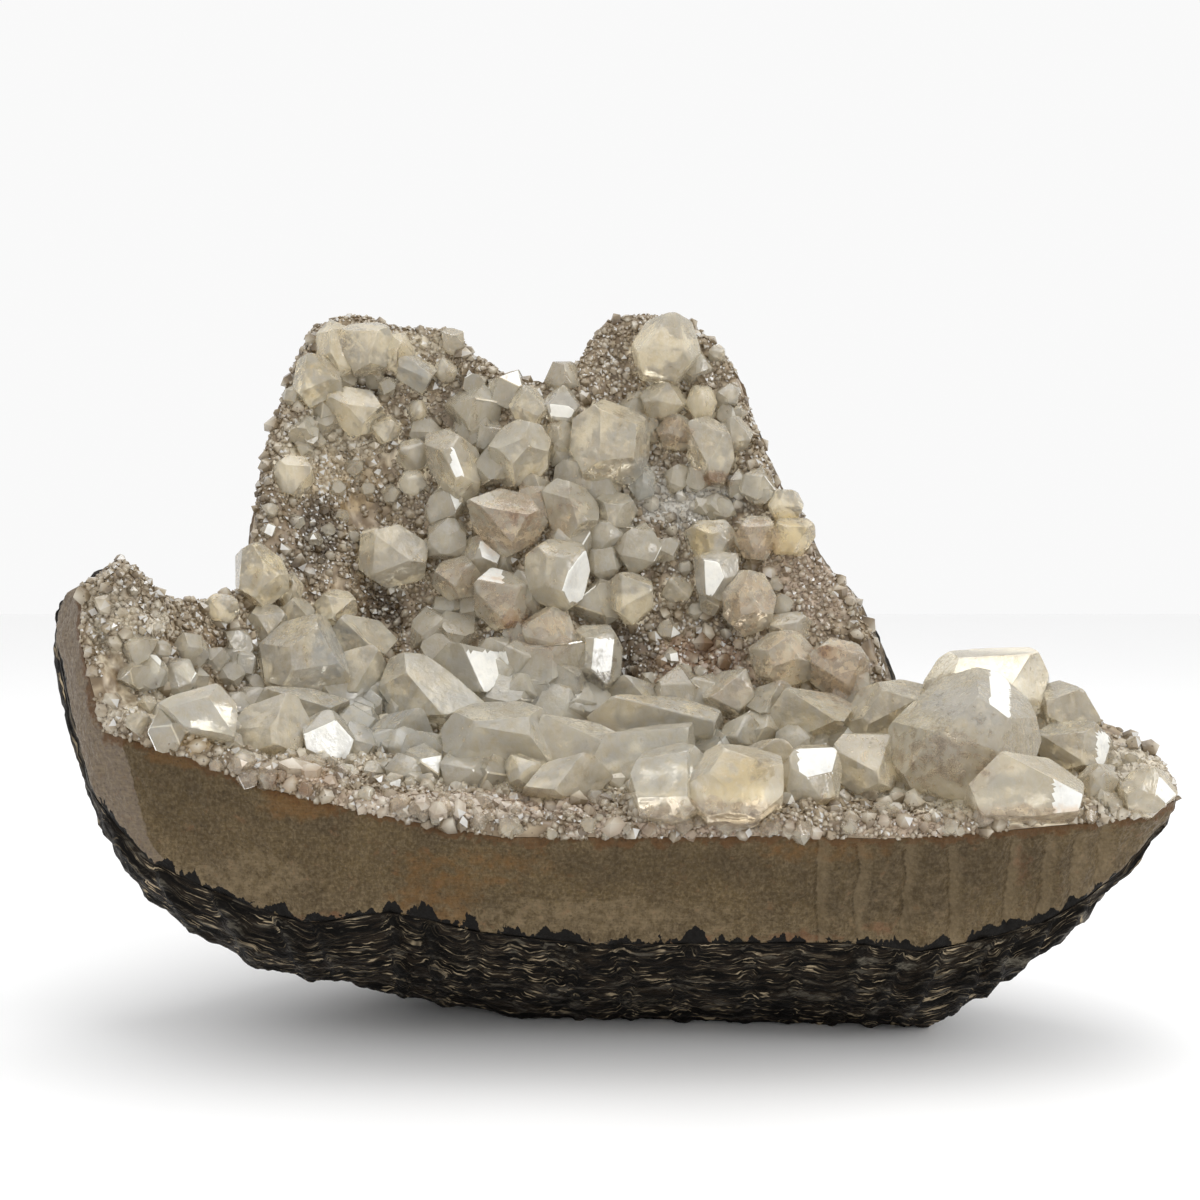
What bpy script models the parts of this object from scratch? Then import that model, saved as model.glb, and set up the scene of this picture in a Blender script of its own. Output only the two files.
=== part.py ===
"""Apophyllite crystals on quartz: a broken piece of a thick vug wall, in metres, +Z up.

From the outside in it has a dark banded rind, a wall of massive quartz and a crust of small
quartz crystals. Blocky milky crystals stand on the crust. It rests on a flat spot of the rind,
and the origin is the middle of the bottom of its box.

Outlines are read as (column, x, y, distance): x and y are the place in a 1200 x 1200 view from
VIEW_POINT, and distance is the real one from that point along the floor, in millimetres.
A column is a cross-section of the piece, numbered from the left end to the right.
"""

import math
import random
from dataclasses import dataclass

import bmesh
import bpy
import numpy as np
from mathutils import Vector, noise
from mathutils.bvhtree import BVHTree
from mathutils.geometry import delaunay_2d_cdt

MM = 0.001
VIEW_POINT = Vector((0.0, -0.560, 0.165))
VIEW_CENTRE = 600
VIEW_FOCAL = 1600
VIEW_PITCH = math.atan(60 / VIEW_FOCAL)

GAP = 0.0003
CORNER_GAP = 1.6
ROWS = 8
SHEET_STRETCH = 0.8

# The crust: its thickness inside and at the edge, how uneven it is, and its peaks.
CRUST_THICKNESS = 0.0085
CRUST_EDGE_THICKNESS = 0.0055
THIN_CRUST = 0.30
FULL_CELL = 0.0055
CRUST_ROUGHNESS = 0.0012
LOWEST_PEAK = 0.05
PEAK_HEIGHT = 0.0036
PEAK_SHIFT = 0.0010

# The hollow: how far the shelf dips and the wall curves back, and between which columns.
SHELF_DIP = 0.006
WALL_HOLLOW = 0.06
HOLLOW_START = (2.5, 4.5)
HOLLOW_END = (14.0, 17.0)

# The outside: how hard the heel pulls it, the flat spot under it, and its ledges.
HEEL_WEIGHT = 1.15
FLAT_SPOT_RISE = 0.0026
FLAT_SPOT_EASE = 0.003
LEDGE_SPACING = 0.066
LEDGE_HEIGHT = 0.0013
LEDGE_WANDER = 2.2
LEDGE_WANDER_SIZE = 0.05

# Relief: (width of the lumps, their height).
HOLLOW_RELIEF = (0.030, 0.0022)
CONTACT_RELIEF = (0.022, 0.0016)
OUTSIDE_RELIEF = (0.026, 0.0045)
RIND_EDGE_RELIEF = (0.016, 0.0040)
RIND_EDGE_STEP = (0.0, -0.0035, -0.0020)
BROKEN_RELIEF = (0.020, 0.0022)

# The crystals: how deep they are seated, how far they stand proud, and how much they vary.
SEAT_DEPTH = 0.0042
FOOT_STEP = 3
STANDS_PROUD = 0.28
LEAST_NEIGHBOURHOOD = 0.012
CORNER_SPREAD = (0.94, 1.08)
AXIS_SPREAD = 0.16
AXIS_TO_CRUST = 0.45
FACE_SPREAD = 6
TABLE_HEIGHT = (0.28, 0.38)
TIP_HEIGHT = (0.40, 0.48)
FLASH_REACH = 0.46
FLASH_SHARE = 0.5

RIM = (
    (0, 79, 632, 505), (1, 86, 668, 502), (2, 104, 733, 496), (3, 150, 746, 490), (4, 205, 764, 487),
    (5, 259, 787, 485), (6, 320, 802, 484), (7, 400, 820, 483), (8, 500, 838, 482), (9, 600, 838, 482),
    (10, 700, 838, 482), (11, 800, 836, 482), (12, 880, 840, 483), (13, 950, 836, 485),
    (14, 1020, 830, 488), (15, 1100, 822, 493), (16, 1150, 815, 499), (17, 1176, 800, 508),
)
CREST = (
    (0, 78, 591, 512), (1, 106, 570, 516), (1.35, 118, 560, 518), (2, 138, 578, 522),
    (2.5, 150, 596, 528), (3, 165, 603, 536), (4, 203, 604, 551), (4.5, 222, 594, 557), (5, 243, 590, 563),
    (5.3, 249, 545, 573), (5.6, 257, 500, 582), (5.9, 266, 445, 592), (6.2, 281, 405, 600),
    (6.5, 291, 370, 606), (6.75, 304, 344, 612), (7, 314, 326, 617), (7.5, 360, 317, 620),
    (8, 400, 331, 620), (8.3, 458, 334, 620), (8.5, 472, 355, 617), (9, 520, 386, 610),
    (9.3, 556, 388, 610), (9.6, 582, 358, 613), (9.9, 606, 322, 618), (10.2, 650, 316, 622),
    (10.6, 690, 324, 621), (10.85, 722, 352, 617), (11.1, 740, 382, 613), (11.4, 756, 430, 606),
    (11.8, 777, 485, 598), (12.2, 801, 514, 594), (12.6, 815, 556, 588), (13, 853, 597, 583),
    (13.4, 874, 648, 576), (13.75, 888, 690, 570), (14.3, 940, 706, 561), (15, 1010, 706, 552),
    (15.6, 1070, 712, 546), (16.2, 1120, 735, 539), (16.6, 1152, 762, 531), (17, 1177, 788, 516),
)
FOOT = (
    (0, 81, 610, 509), (1, 97, 648, 511), (2, 128, 700, 512), (3, 168, 722, 523), (4, 215, 716, 540),
    (5, 268, 714, 552), (6, 335, 718, 560), (7, 405, 724, 566), (8, 475, 720, 570), (9, 560, 718, 570),
    (10, 640, 720, 570), (11, 716, 729, 568), (12, 782, 737, 566), (13, 836, 746, 562),
    (13.75, 880, 755, 556), (14.3, 934, 764, 549), (15, 1025, 778, 535), (16, 1110, 795, 523),
    (17, 1176, 796, 512),
)
CONTACT = (
    (0, 56, 636, 526), (1, 66, 690, 518), (2, 92, 793, 506), (2.5, 118, 828, 502), (3, 150, 862, 498),
    (4, 210, 890, 497), (5, 260, 910, 496), (6, 310, 924, 495), (7, 390, 912, 494), (8, 480, 932, 494),
    (9, 590, 945, 495), (10, 690, 944, 495), (11, 780, 943, 495), (12, 850, 943, 495), (13, 920, 952, 496),
    (14, 980, 940, 497), (15, 1045, 922, 500), (16, 1110, 885, 505), (17, 1171, 812, 512),
)
SOLE = (
    (0, 54, 640, 537), (1, 60, 694, 533), (2, 90, 790, 530), (2.5, 116, 847, 527), (3, 152, 905, 523),
    (4, 206, 940, 522), (5, 258, 967, 526), (6, 308, 977, 531), (7, 378, 991, 539), (8, 470, 1005, 546),
    (9, 590, 1019, 546), (10, 690, 1028, 543), (11, 790, 1030, 540), (12, 870, 1031, 539),
    (13, 925, 1026, 535), (14, 978, 1000, 525), (15, 1036, 957, 516), (16, 1105, 895, 513),
    (17, 1168, 818, 515),
)

# The hidden back, in millimetres: (column, x, y, z) of the heel that the outside bulges towards.
HEEL = (
    (0, -188, -12, 136), (1, -188, -6, 116), (2, -184, 0, 84), (3, -170, 14, 50), (4, -152, 32, 28),
    (5, -132, 52, 8), (6, -106, 70, -8), (7, -78, 84, -24), (8, -42, 92, -36), (9, 0, 96, -38),
    (10, 34, 96, -38), (11, 62, 92, -34), (12, 88, 78, -24), (13, 110, 56, -10), (14, 130, 32, 10),
    (15, 154, 6, 30), (16, 174, -20, 54), (17, 184, -43, 77),
)
# How thick the broken wall is at its crest, in millimetres: (column, x, y, z).
CREST_THICKNESS = (
    (0, -13, 24, -2), (2, -11, 21, -4), (4, -7, 22, -5), (5.5, -3, 25, -4), (7, -2, 24, -5),
    (9, 0, 20, -5), (10.5, 2, 23, -5), (12, 6, 24, -4), (13.5, 8, 22, -2), (15, 5, 16, -4), (17, 1, 8, -4),
)
# How thick the rind is at the heel, in millimetres: (column, thickness).
HEEL_RIND = ((0, 8), (2, 10), (4, 14), (7, 22), (10, 25), (13, 16), (15, 9), (17, 2.5))
RIND_SHARE_AT_CREST = 0.30

# Swells and pits of the crust, in millimetres: (x, y, z, radius, rise).
SWELLS = (
    (-98, 45, 180, 22, -9), (-82, 30, 140, 16, -9), (-30, 45, 190, 26, 5), (8, 15, 112, 20, -7),
    (42, 40, 175, 18, 4), (-18, 2, 118, 16, 8), (-118, 5, 150, 20, 4), (-66, 40, 205, 20, 4),
    (60, 15, 125, 18, 5), (-136, -40, 100, 18, 3), (26, 50, 215, 16, -4), (-14, 48, 200, 14, -4),
)

RIND_COLOUR = (0.022, 0.017, 0.011, 1.0)
QUARTZ_COLOUR = (0.13, 0.10, 0.060, 1.0)
DRUSE_COLOUR = (0.38, 0.33, 0.25, 1.0)
CRYSTAL_COLOUR = (0.56, 0.50, 0.39, 1.0)


@dataclass(frozen=True)
class Crystal:
    """A crystal as seen in the view: the middle and size of its outline, its habit, and how it stands."""

    node: str
    x: float
    y: float
    width: float
    height: float
    habit: str = "block"
    foot: float = 0.5
    flash: float = 0.0
    turn: float = 0.0
    outline: tuple = ()


UPPER_LEFT = (
    Crystal("upper_left", 332, 350, 32, 56, "point",
            outline=((318, 335), (331, 322), (347, 330), (349, 368), (335, 378), (320, 370))),
    Crystal("upper_left", 366, 347, 58, 50, turn=10),
    Crystal("upper_left", 398, 353, 28, 38, "point"),
    Crystal("upper_left", 317, 382, 48, 46,
            outline=((300, 362), (326, 360), (338, 374), (340, 392), (310, 405), (295, 388))),
    Crystal("upper_left", 354, 412, 56, 44,
            outline=((330, 396), (345, 389), (370, 393), (383, 416), (370, 431), (350, 433),
                     (327, 408))),
    Crystal("upper_left", 385, 430, 24, 24),
    Crystal("upper_left", 417, 375, 36, 34,
            outline=((401, 362), (416, 358), (435, 370), (422, 391), (399, 377))),
    Crystal("upper_left", 417, 411, 15, 20, "point"),
    Crystal("upper_left", 445, 371, 20, 20),
    Crystal("left_wall", 294, 476, 36, 38,
            outline=((277, 466), (288, 458), (304, 459), (312, 480), (300, 495), (279, 489))),
    Crystal("left_middle", 456, 466, 58, 66, flash=0.20,
            outline=((428, 436), (447, 431), (475, 450), (481, 470), (477, 492), (462, 500),
                     (443, 488), (430, 466))),
    Crystal("left_middle", 414, 455, 32, 30),
    Crystal("left_middle", 412, 482, 24, 22, "point"),
    Crystal("left_hexagon", 392, 556, 66, 60,
            outline=((363, 536), (398, 527), (426, 545), (422, 577), (388, 586), (361, 568))),
)
CENTRE = (
    Crystal("centre_top", 528, 407, 36, 33),
    Crystal("centre_top", 561, 406, 36, 28, flash=0.22),
    Crystal("centre_upper", 521, 453, 58, 62,
            outline=((492, 449), (503, 430), (518, 422), (540, 427), (549, 442), (545, 467),
                     (530, 483), (508, 484), (495, 466))),
    Crystal("centre_upper", 560, 438, 28, 38, "point"),
    Crystal("centre_large", 611, 443, 76, 78,
            outline=((575, 420), (603, 402), (636, 414), (648, 430), (646, 460), (632, 481),
                     (585, 481), (573, 450))),
    Crystal("centre_large", 642, 482, 24, 36, "point"),
    Crystal("centre", 569, 511, 56, 60, turn=8,
            outline=((544, 492), (557, 481), (582, 489), (596, 505), (592, 531), (573, 543),
                     (553, 527))),
    Crystal("centre_large", 614, 511, 42, 34),
    Crystal("centre", 508, 523, 78, 62,
            outline=((471, 502), (500, 491), (527, 497), (545, 522), (533, 541), (503, 556),
                     (476, 529))),
    Crystal("centre", 536, 490, 32, 22, "wedge"),
    Crystal("centre_left", 480, 556, 38, 36, flash=0.25),
    Crystal("centre_low", 557, 577, 60, 70, flash=0.22,
            outline=((528, 556), (550, 541), (580, 545), (588, 570), (581, 598), (562, 611),
                     (535, 598), (527, 576))),
    Crystal("centre_low", 502, 600, 58, 56,
            outline=((476, 588), (492, 570), (520, 577), (531, 600), (522, 626), (496, 628),
                     (477, 612))),
    Crystal("centre_left", 457, 579, 44, 42),
    Crystal("centre_right", 630, 598, 44, 46,
            outline=((610, 583), (631, 574), (649, 582), (651, 605), (632, 622), (609, 606))),
    Crystal("centre_low", 548, 633, 44, 44,
            outline=((527, 624), (545, 612), (566, 618), (574, 640), (555, 660), (533, 652))),
)
RIGHT_WALL = (
    Crystal("upper_right", 667, 350, 64, 60,
            outline=((634, 345), (648, 323), (690, 323), (699, 353), (676, 379), (643, 373))),
    Crystal("upper_right", 662, 401, 44, 34),
    Crystal("upper_right", 702, 402, 28, 32, "point"),
    Crystal("right_upper", 675, 433, 36, 32),
    Crystal("right_upper", 711, 452, 42, 62,
            outline=((692, 430), (708, 419), (726, 428), (732, 458), (722, 482), (702, 480),
                     (690, 458))),
    Crystal("right_upper", 735, 434, 30, 32),
    Crystal("right_upper", 650, 430, 18, 24, "point"),
    Crystal("right_middle", 712, 540, 46, 36, flash=0.18,
            outline=((689, 532), (700, 523), (724, 522), (736, 540), (726, 557), (698, 556))),
    Crystal("right_middle", 716, 577, 42, 46, flash=0.30,
            outline=((696, 560), (715, 553), (736, 556), (737, 580), (722, 599), (700, 592))),
    Crystal("right_middle", 756, 538, 42, 42),
    Crystal("right_edge", 792, 536, 40, 38),
    Crystal("right_edge", 786, 505, 32, 28),
    Crystal("right_low", 748, 604, 52, 62,
            outline=((725, 592), (741, 573), (762, 576), (774, 598), (768, 625), (745, 634),
                     (726, 616))),
    Crystal("right_low", 790, 628, 36, 26),
    Crystal("right_low", 782, 658, 58, 42,
            outline=((753, 650), (770, 637), (797, 636), (811, 652), (808, 676), (785, 682),
                     (760, 672))),
    Crystal("right_low", 838, 668, 52, 50, flash=0.10,
            outline=((813, 656), (832, 642), (856, 648), (866, 665), (858, 690), (834, 696),
                     (815, 680))),
    Crystal("centre_right", 678, 590, 28, 22, "wedge"),
    Crystal("right_foot", 728, 692, 48, 34, "wedge", foot=0.7, flash=0.2),
    Crystal("right_foot", 773, 704, 50, 28, "wedge", foot=0.7),
)
SHELF_BACK = (
    Crystal("shelf_back", 519, 660, 38, 30, foot=0.6),
    Crystal("shelf_back", 594, 661, 48, 66, foot=0.6, flash=0.28,
            outline=((570, 645), (583, 630), (606, 629), (618, 648), (616, 676), (598, 694),
                     (577, 684), (569, 662))),
    Crystal("shelf_left", 470, 670, 64, 44, "wedge", foot=0.75, flash=0.25,
            outline=((435, 664), (452, 651), (495, 656), (501, 675), (484, 691), (452, 688))),
    Crystal("shelf_left", 427, 690, 92, 58, "wedge", foot=0.75,
            outline=((383, 688), (393, 662), (424, 660), (452, 680), (478, 703), (446, 720),
                     (402, 714))),
    Crystal("shelf_back", 636, 697, 46, 22, "wedge", foot=0.75),
    Crystal("shelf_back", 520, 690, 34, 24, foot=0.7),
    Crystal("back_left", 263, 577, 44, 62,
            outline=((242, 588), (245, 550), (258, 545), (280, 561), (286, 588), (264, 607))),
    Crystal("back_left", 291, 590, 20, 30, "point"),
    Crystal("back_left", 267, 622, 36, 34, foot=0.6),
    Crystal("back_left", 297, 611, 28, 20, "wedge", foot=0.6),
    Crystal("back_left", 336, 607, 38, 32, foot=0.6, turn=20),
    Crystal("left_block", 302, 659, 82, 76, foot=0.65,
            outline=((262, 645), (285, 624), (325, 620), (341, 652), (345, 690), (300, 697),
                     (268, 680))),
    Crystal("left_block", 360, 640, 66, 42, "wedge", foot=0.65),
    Crystal("left_block", 360, 673, 52, 46, "wedge", foot=0.7),
    Crystal("left_block", 222, 608, 30, 26, foot=0.6),
)
SHELF_FRONT = (
    Crystal("front_left", 325, 741, 46, 38, foot=0.7, flash=0.40,
            outline=((302, 732), (312, 722), (340, 723), (350, 740), (344, 757), (310, 758))),
    Crystal("front_left", 270, 731, 72, 44, "wedge", foot=0.8,
            outline=((236, 730), (248, 712), (292, 708), (306, 724), (302, 752), (256, 754),
                     (238, 744))),
    Crystal("front_left", 300, 704, 82, 24, "wedge", foot=0.8),
    Crystal("front_left", 192, 718, 84, 46, "wedge", foot=0.8,
            outline=((150, 714), (176, 700), (215, 693), (232, 708), (230, 736), (212, 744),
                     (186, 722))),
    Crystal("front_left", 402, 734, 60, 32, "wedge", foot=0.8),
    Crystal("front_left", 436, 752, 66, 24, "wedge", foot=0.8),
    Crystal("front_middle", 500, 738, 108, 70, foot=0.85,
            outline=((446, 730), (474, 708), (520, 706), (552, 728), (556, 758), (520, 774),
                     (468, 768), (448, 750))),
    Crystal("front_middle", 572, 750, 92, 44, "wedge", foot=0.85,
            outline=((526, 750), (552, 732), (596, 728), (620, 742), (612, 764), (570, 774),
                     (534, 770))),
    Crystal("front_middle", 655, 720, 124, 36, "wedge", foot=0.8,
            outline=((594, 722), (622, 706), (680, 702), (716, 714), (710, 732), (650, 738),
                     (604, 736))),
    Crystal("front_middle", 644, 754, 90, 44, "wedge", foot=0.85, turn=25,
            outline=((598, 772), (618, 748), (656, 730), (688, 728), (684, 748), (650, 770),
                     (614, 780))),
    Crystal("front_middle", 568, 781, 72, 34, "wedge", foot=0.85),
    Crystal("front_middle", 523, 771, 30, 24, foot=0.85),
    Crystal("front_pair", 670, 783, 66, 70, foot=0.85,
            outline=((636, 780), (648, 756), (680, 748), (704, 764), (702, 800), (680, 817),
                     (644, 812))),
    Crystal("front_pair", 735, 784, 86, 66, foot=0.85,
            outline=((693, 778), (708, 756), (746, 751), (776, 760), (778, 792), (752, 814),
                     (710, 812), (696, 798))),
    Crystal("front_bright", 811, 777, 50, 56, foot=0.85, flash=0.30,
            outline=((787, 770), (800, 750), (822, 750), (837, 768), (834, 796), (808, 804),
                     (789, 794))),
    Crystal("front_right", 866, 764, 58, 54, foot=0.8,
            outline=((838, 756), (852, 738), (881, 738), (895, 760), (888, 786), (858, 791),
                     (840, 778))),
    Crystal("front_bright", 740, 735, 36, 20, "wedge", foot=0.8),
    Crystal("front_right", 808, 719, 82, 38, "wedge", foot=0.8,
            outline=((770, 720), (790, 702), (830, 698), (850, 708), (838, 732), (790, 738))),
    Crystal("front_right", 884, 712, 84, 54, foot=0.75,
            outline=((842, 722), (864, 692), (900, 684), (926, 690), (918, 724), (884, 740),
                     (852, 736))),
    Crystal("front_bright", 770, 752, 40, 16, "wedge", foot=0.8),
)
RIGHT_END = (
    Crystal("right_end_back", 985, 678, 118, 60, foot=0.8,
            outline=((928, 684), (942, 662), (980, 653), (1027, 652), (1044, 676), (1036, 704),
                     (960, 712), (932, 702))),
    Crystal("right_end_large", 968, 738, 150, 122, foot=0.85,
            outline=((893, 730), (918, 704), (946, 682), (996, 677), (1022, 700), (1036, 740),
                     (1022, 782), (972, 799), (916, 788), (896, 762))),
    Crystal("right_end_tip", 1074, 745, 62, 42, foot=0.8, flash=0.15,
            outline=((1044, 740), (1056, 726), (1090, 725), (1106, 740), (1100, 764), (1062, 767),
                     (1045, 756))),
    Crystal("right_end_large", 1026, 789, 104, 46, "wedge", foot=0.85,
            outline=((974, 790), (1000, 768), (1048, 764), (1078, 786), (1074, 808), (1030, 812),
                     (984, 810))),
    Crystal("right_end_tip", 1098, 782, 34, 30, "point", foot=0.8),
    Crystal("right_end_tip", 1147, 792, 46, 36, foot=0.8, flash=0.25),
    Crystal("right_end_back", 1070, 702, 50, 46, "wedge", foot=0.8,
            outline=((1046, 690), (1058, 686), (1076, 702), (1094, 720), (1080, 728), (1050, 722))),
)
CRYSTALS = UPPER_LEFT + CENTRE + RIGHT_WALL + SHELF_BACK + SHELF_FRONT + RIGHT_END

# How far the end faces lean from the crystal's axis, in degrees: (wide faces, faces between, table).
HABITS = {"block": (50, None, 10), "point": (46, 54, None), "wedge": (38, None, None)}
FLASH_FACE = Vector((0.46, -0.84, 0.28)).normalized()


def sight_line(x, y):
    """Direction from the viewpoint through a place in the view."""
    across = (x - VIEW_CENTRE) / VIEW_FOCAL
    rise = (VIEW_CENTRE - y) / VIEW_FOCAL
    forward = Vector((0, math.cos(VIEW_PITCH), -math.sin(VIEW_PITCH)))
    up = Vector((0, math.sin(VIEW_PITCH), math.cos(VIEW_PITCH)))
    return (forward + across * Vector((1, 0, 0)) + rise * up)


def seen_point(x, y, distance):
    """The point at a place in the view that lies this far along the floor, in millimetres."""
    line = sight_line(x, y)
    return np.array(VIEW_POINT + line * (distance * MM / line.y))


def curve_in_view(outline):
    """Columns and real points of an outline read in the view."""
    columns = np.array([row[0] for row in outline], float)
    points = np.array([seen_point(*row[1:]) for row in outline])
    return columns, points


def curve_in_space(outline):
    """Columns and real values of a list in millimetres."""
    columns = np.array([row[0] for row in outline], float)
    values = np.array([row[1:] for row in outline], float) * MM
    return columns, values


def along(curve, columns):
    """Values of a curve at the given columns, straight between its points."""
    known, values = curve
    return np.stack([np.interp(columns, known, values[:, axis]) for axis in range(values.shape[1])], axis=-1)


def smooth_rows(points, rows):
    """A smooth line through a few points for every column, by Catmull-Rom, at evenly spaced rows."""
    knots = len(points)
    padded = [2 * points[0] - points[1], *points, 2 * points[-1] - points[-2]]
    sheet = []
    for row in range(rows + 1):
        place = row / rows * (knots - 1)
        left = min(int(place), knots - 2)
        t = place - left
        a, b, c, d = padded[left:left + 4]
        sheet.append(0.5 * (2 * b + (c - a) * t + (2 * a - 5 * b + 4 * c - d) * t ** 2
                            + (3 * b - a - 3 * c + d) * t ** 3))
    return np.stack(sheet, axis=1)


def conic_rows(start, heel, end, rows):
    """A line that bends round the heel for every column, as a rational curve."""
    sheet = []
    for row in range(rows + 1):
        t = row / rows
        near, middle, far = (1 - t) ** 2, 2 * t * (1 - t) * HEEL_WEIGHT, t ** 2
        sheet.append((near * start + middle * heel + far * end) / (near + middle + far))
    return np.stack(sheet, axis=1)


def sheet_normals(sheet):
    """Unit normals of a sheet of points, by central differences; they point to the hollow side."""
    along_columns = np.gradient(sheet, axis=0)
    along_rows = np.gradient(sheet, axis=1)
    normals = np.cross(along_columns, along_rows)
    return normals / np.linalg.norm(normals, axis=-1, keepdims=True)


def lumps(points, size, seed):
    """Smooth noise from -1 to 1 at each point of a sheet, with lumps of the given size."""
    shift = Vector((seed * 7.3, seed * 3.1, seed * 5.7))
    flat = points.reshape(-1, 3)
    values = [noise.noise(Vector(point) / size + shift) for point in flat]
    return np.array(values).reshape(points.shape[:-1])


def room_for_relief(sheet):
    """1 where the cells of a sheet are full size, falling with the size of the smaller ones."""
    along_columns = np.linalg.norm(np.gradient(sheet, axis=0), axis=-1)
    along_rows = np.linalg.norm(np.gradient(sheet, axis=1), axis=-1)
    return np.clip(np.minimum(along_columns, along_rows) / FULL_CELL, 0, 1)


def inward_fade(sheet, margin=1.5):
    """0 on the border of a sheet, rising to 1 a few cells inside it, and less where the cells are small."""
    columns, rows = sheet.shape[:2]
    i = np.arange(columns)[:, None]
    j = np.arange(rows)[None, :]
    to_border = np.minimum(np.minimum(i, columns - 1 - i), np.minimum(j, rows - 1 - j))
    return np.clip(to_border / margin, 0, 1) * room_for_relief(sheet)


def hollow_side(columns):
    """The sheet that the crust lies on: over the shelf from the rim, then up the wall to the crest."""
    rim = along(curve_in_view(RIM), columns)
    foot = along(curve_in_view(FOOT), columns)
    crest = along(curve_in_view(CREST), columns)
    inner = np.interp(columns, HOLLOW_START, (0, 1)) * np.interp(columns, HOLLOW_END, (1, 0))
    shelf = (rim + foot) / 2 - np.outer(inner * SHELF_DIP, (0, 0, 1))
    height = np.linalg.norm(crest - foot, axis=-1)
    wall = (foot + crest) / 2 + np.outer(inner * WALL_HOLLOW * height, (0, 1, 0))
    sheet = smooth_rows([rim, shelf, foot, wall, crest], ROWS)
    normals = sheet_normals(sheet)
    size, most = HOLLOW_RELIEF
    rise = lumps(sheet, size, 1) * most
    for x, y, z, radius, height in SWELLS:
        away = np.linalg.norm(sheet - np.array((x, y, z)) * MM, axis=-1)
        rise = rise + height * MM * np.exp(-(away / (radius * MM)) ** 2)
    return sheet + normals * (rise * inward_fade(sheet, 2.5))[..., None]


def outer_lines(columns):
    """The crest of the outside, the heel, and the front edge of the sole, column by column."""
    crest = along(curve_in_view(CREST), columns)
    thickness = along(curve_in_space(CREST_THICKNESS), columns)
    heel = along(curve_in_space(HEEL), columns)
    sole = along(curve_in_view(SOLE), columns)
    return crest, thickness, heel, sole


def contact_sheet(columns):
    """The sheet where the massive quartz meets the rind."""
    crest, thickness, heel, _ = outer_lines(columns)
    start = along(curve_in_view(CONTACT), columns)
    foot = along(curve_in_view(FOOT), columns)
    inward = foot - heel
    inward = inward / np.linalg.norm(inward, axis=-1, keepdims=True)
    inner_heel = heel + inward * along(curve_in_space(HEEL_RIND), columns)
    end = crest + thickness * (1 - RIND_SHARE_AT_CREST)
    sheet = conic_rows(start, inner_heel, end, ROWS)
    size, most = CONTACT_RELIEF
    wave = lumps(sheet, size, 2) * most * inward_fade(sheet, 2.0)
    return sheet + sheet_normals(sheet) * wave[..., None]


def outside_sheet(columns):
    """The outer face of the rind, with its ledges and lumps and the flat spot underneath."""
    crest, thickness, heel, sole = outer_lines(columns)
    sheet = conic_rows(sole, heel, crest + thickness, ROWS)
    turns = sheet[..., 2] / LEDGE_SPACING * 2 * math.pi
    ledges = np.sin(turns + LEDGE_WANDER * lumps(sheet, LEDGE_WANDER_SIZE, 3)) * LEDGE_HEIGHT
    size, most = OUTSIDE_RELIEF
    bumps = lumps(sheet, size, 4) * most
    out = (ledges + bumps) * inward_fade(sheet, 1.5)
    sheet = sheet - sheet_normals(sheet) * out[..., None]
    above = np.maximum(sheet[..., 2] - FLAT_SPOT_RISE, 0.0)
    flat = FLAT_SPOT_RISE * (1 - np.exp(-above / FLAT_SPOT_EASE))
    sheet[..., 2] = above + flat
    return sheet


def grid_faces(columns, rows, start, turned):
    """Two triangles for each cell of a grid of points, the same way for sheets that lie on each other."""
    faces = []
    for i in range(columns - 1):
        for j in range(rows - 1):
            a = start + i * rows + j
            b = a + rows
            pair = ((a, b, b + 1), (a, b + 1, a + 1)) if (i + j) % 2 else ((a, b, a + 1), (b, b + 1, a + 1))
            faces += [tuple(reversed(face)) for face in pair] if turned else pair
    return faces


def sparse_faces(columns, rows, start, turned):
    """Triangles over a hidden sheet that keep its whole border but only every second point inside it."""
    flat = []
    known = []
    for i in range(columns):
        for j in range(rows):
            on_border = i in (0, columns - 1) or j in (0, rows - 1)
            if on_border or (i % 2 == 0 and j % 2 == 0):
                flat.append(Vector((i * SHEET_STRETCH, j)))
                known.append(start + i * rows + j)
    border = border_loop(columns, rows)
    place = {index: k for k, index in enumerate(known)}
    edges = [
        (place[start + border[k]], place[start + border[(k + 1) % len(border)]])
        for k in range(len(border))
    ]
    triangles = delaunay_2d_cdt(flat, edges, [], 1, 1e-6)[2]
    faces = [tuple(known[k] for k in triangle) for triangle in triangles]
    return [tuple(reversed(face)) for face in faces] if turned else faces


def border_loop(columns, rows):
    """Indices round the border of a grid of points."""
    front = [i * rows for i in range(columns)]
    right = [(columns - 1) * rows + j for j in range(1, rows)]
    back = [i * rows + rows - 1 for i in range(columns - 2, -1, -1)]
    left = [j for j in range(rows - 2, 0, -1)]
    return front + right + back + left


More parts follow.
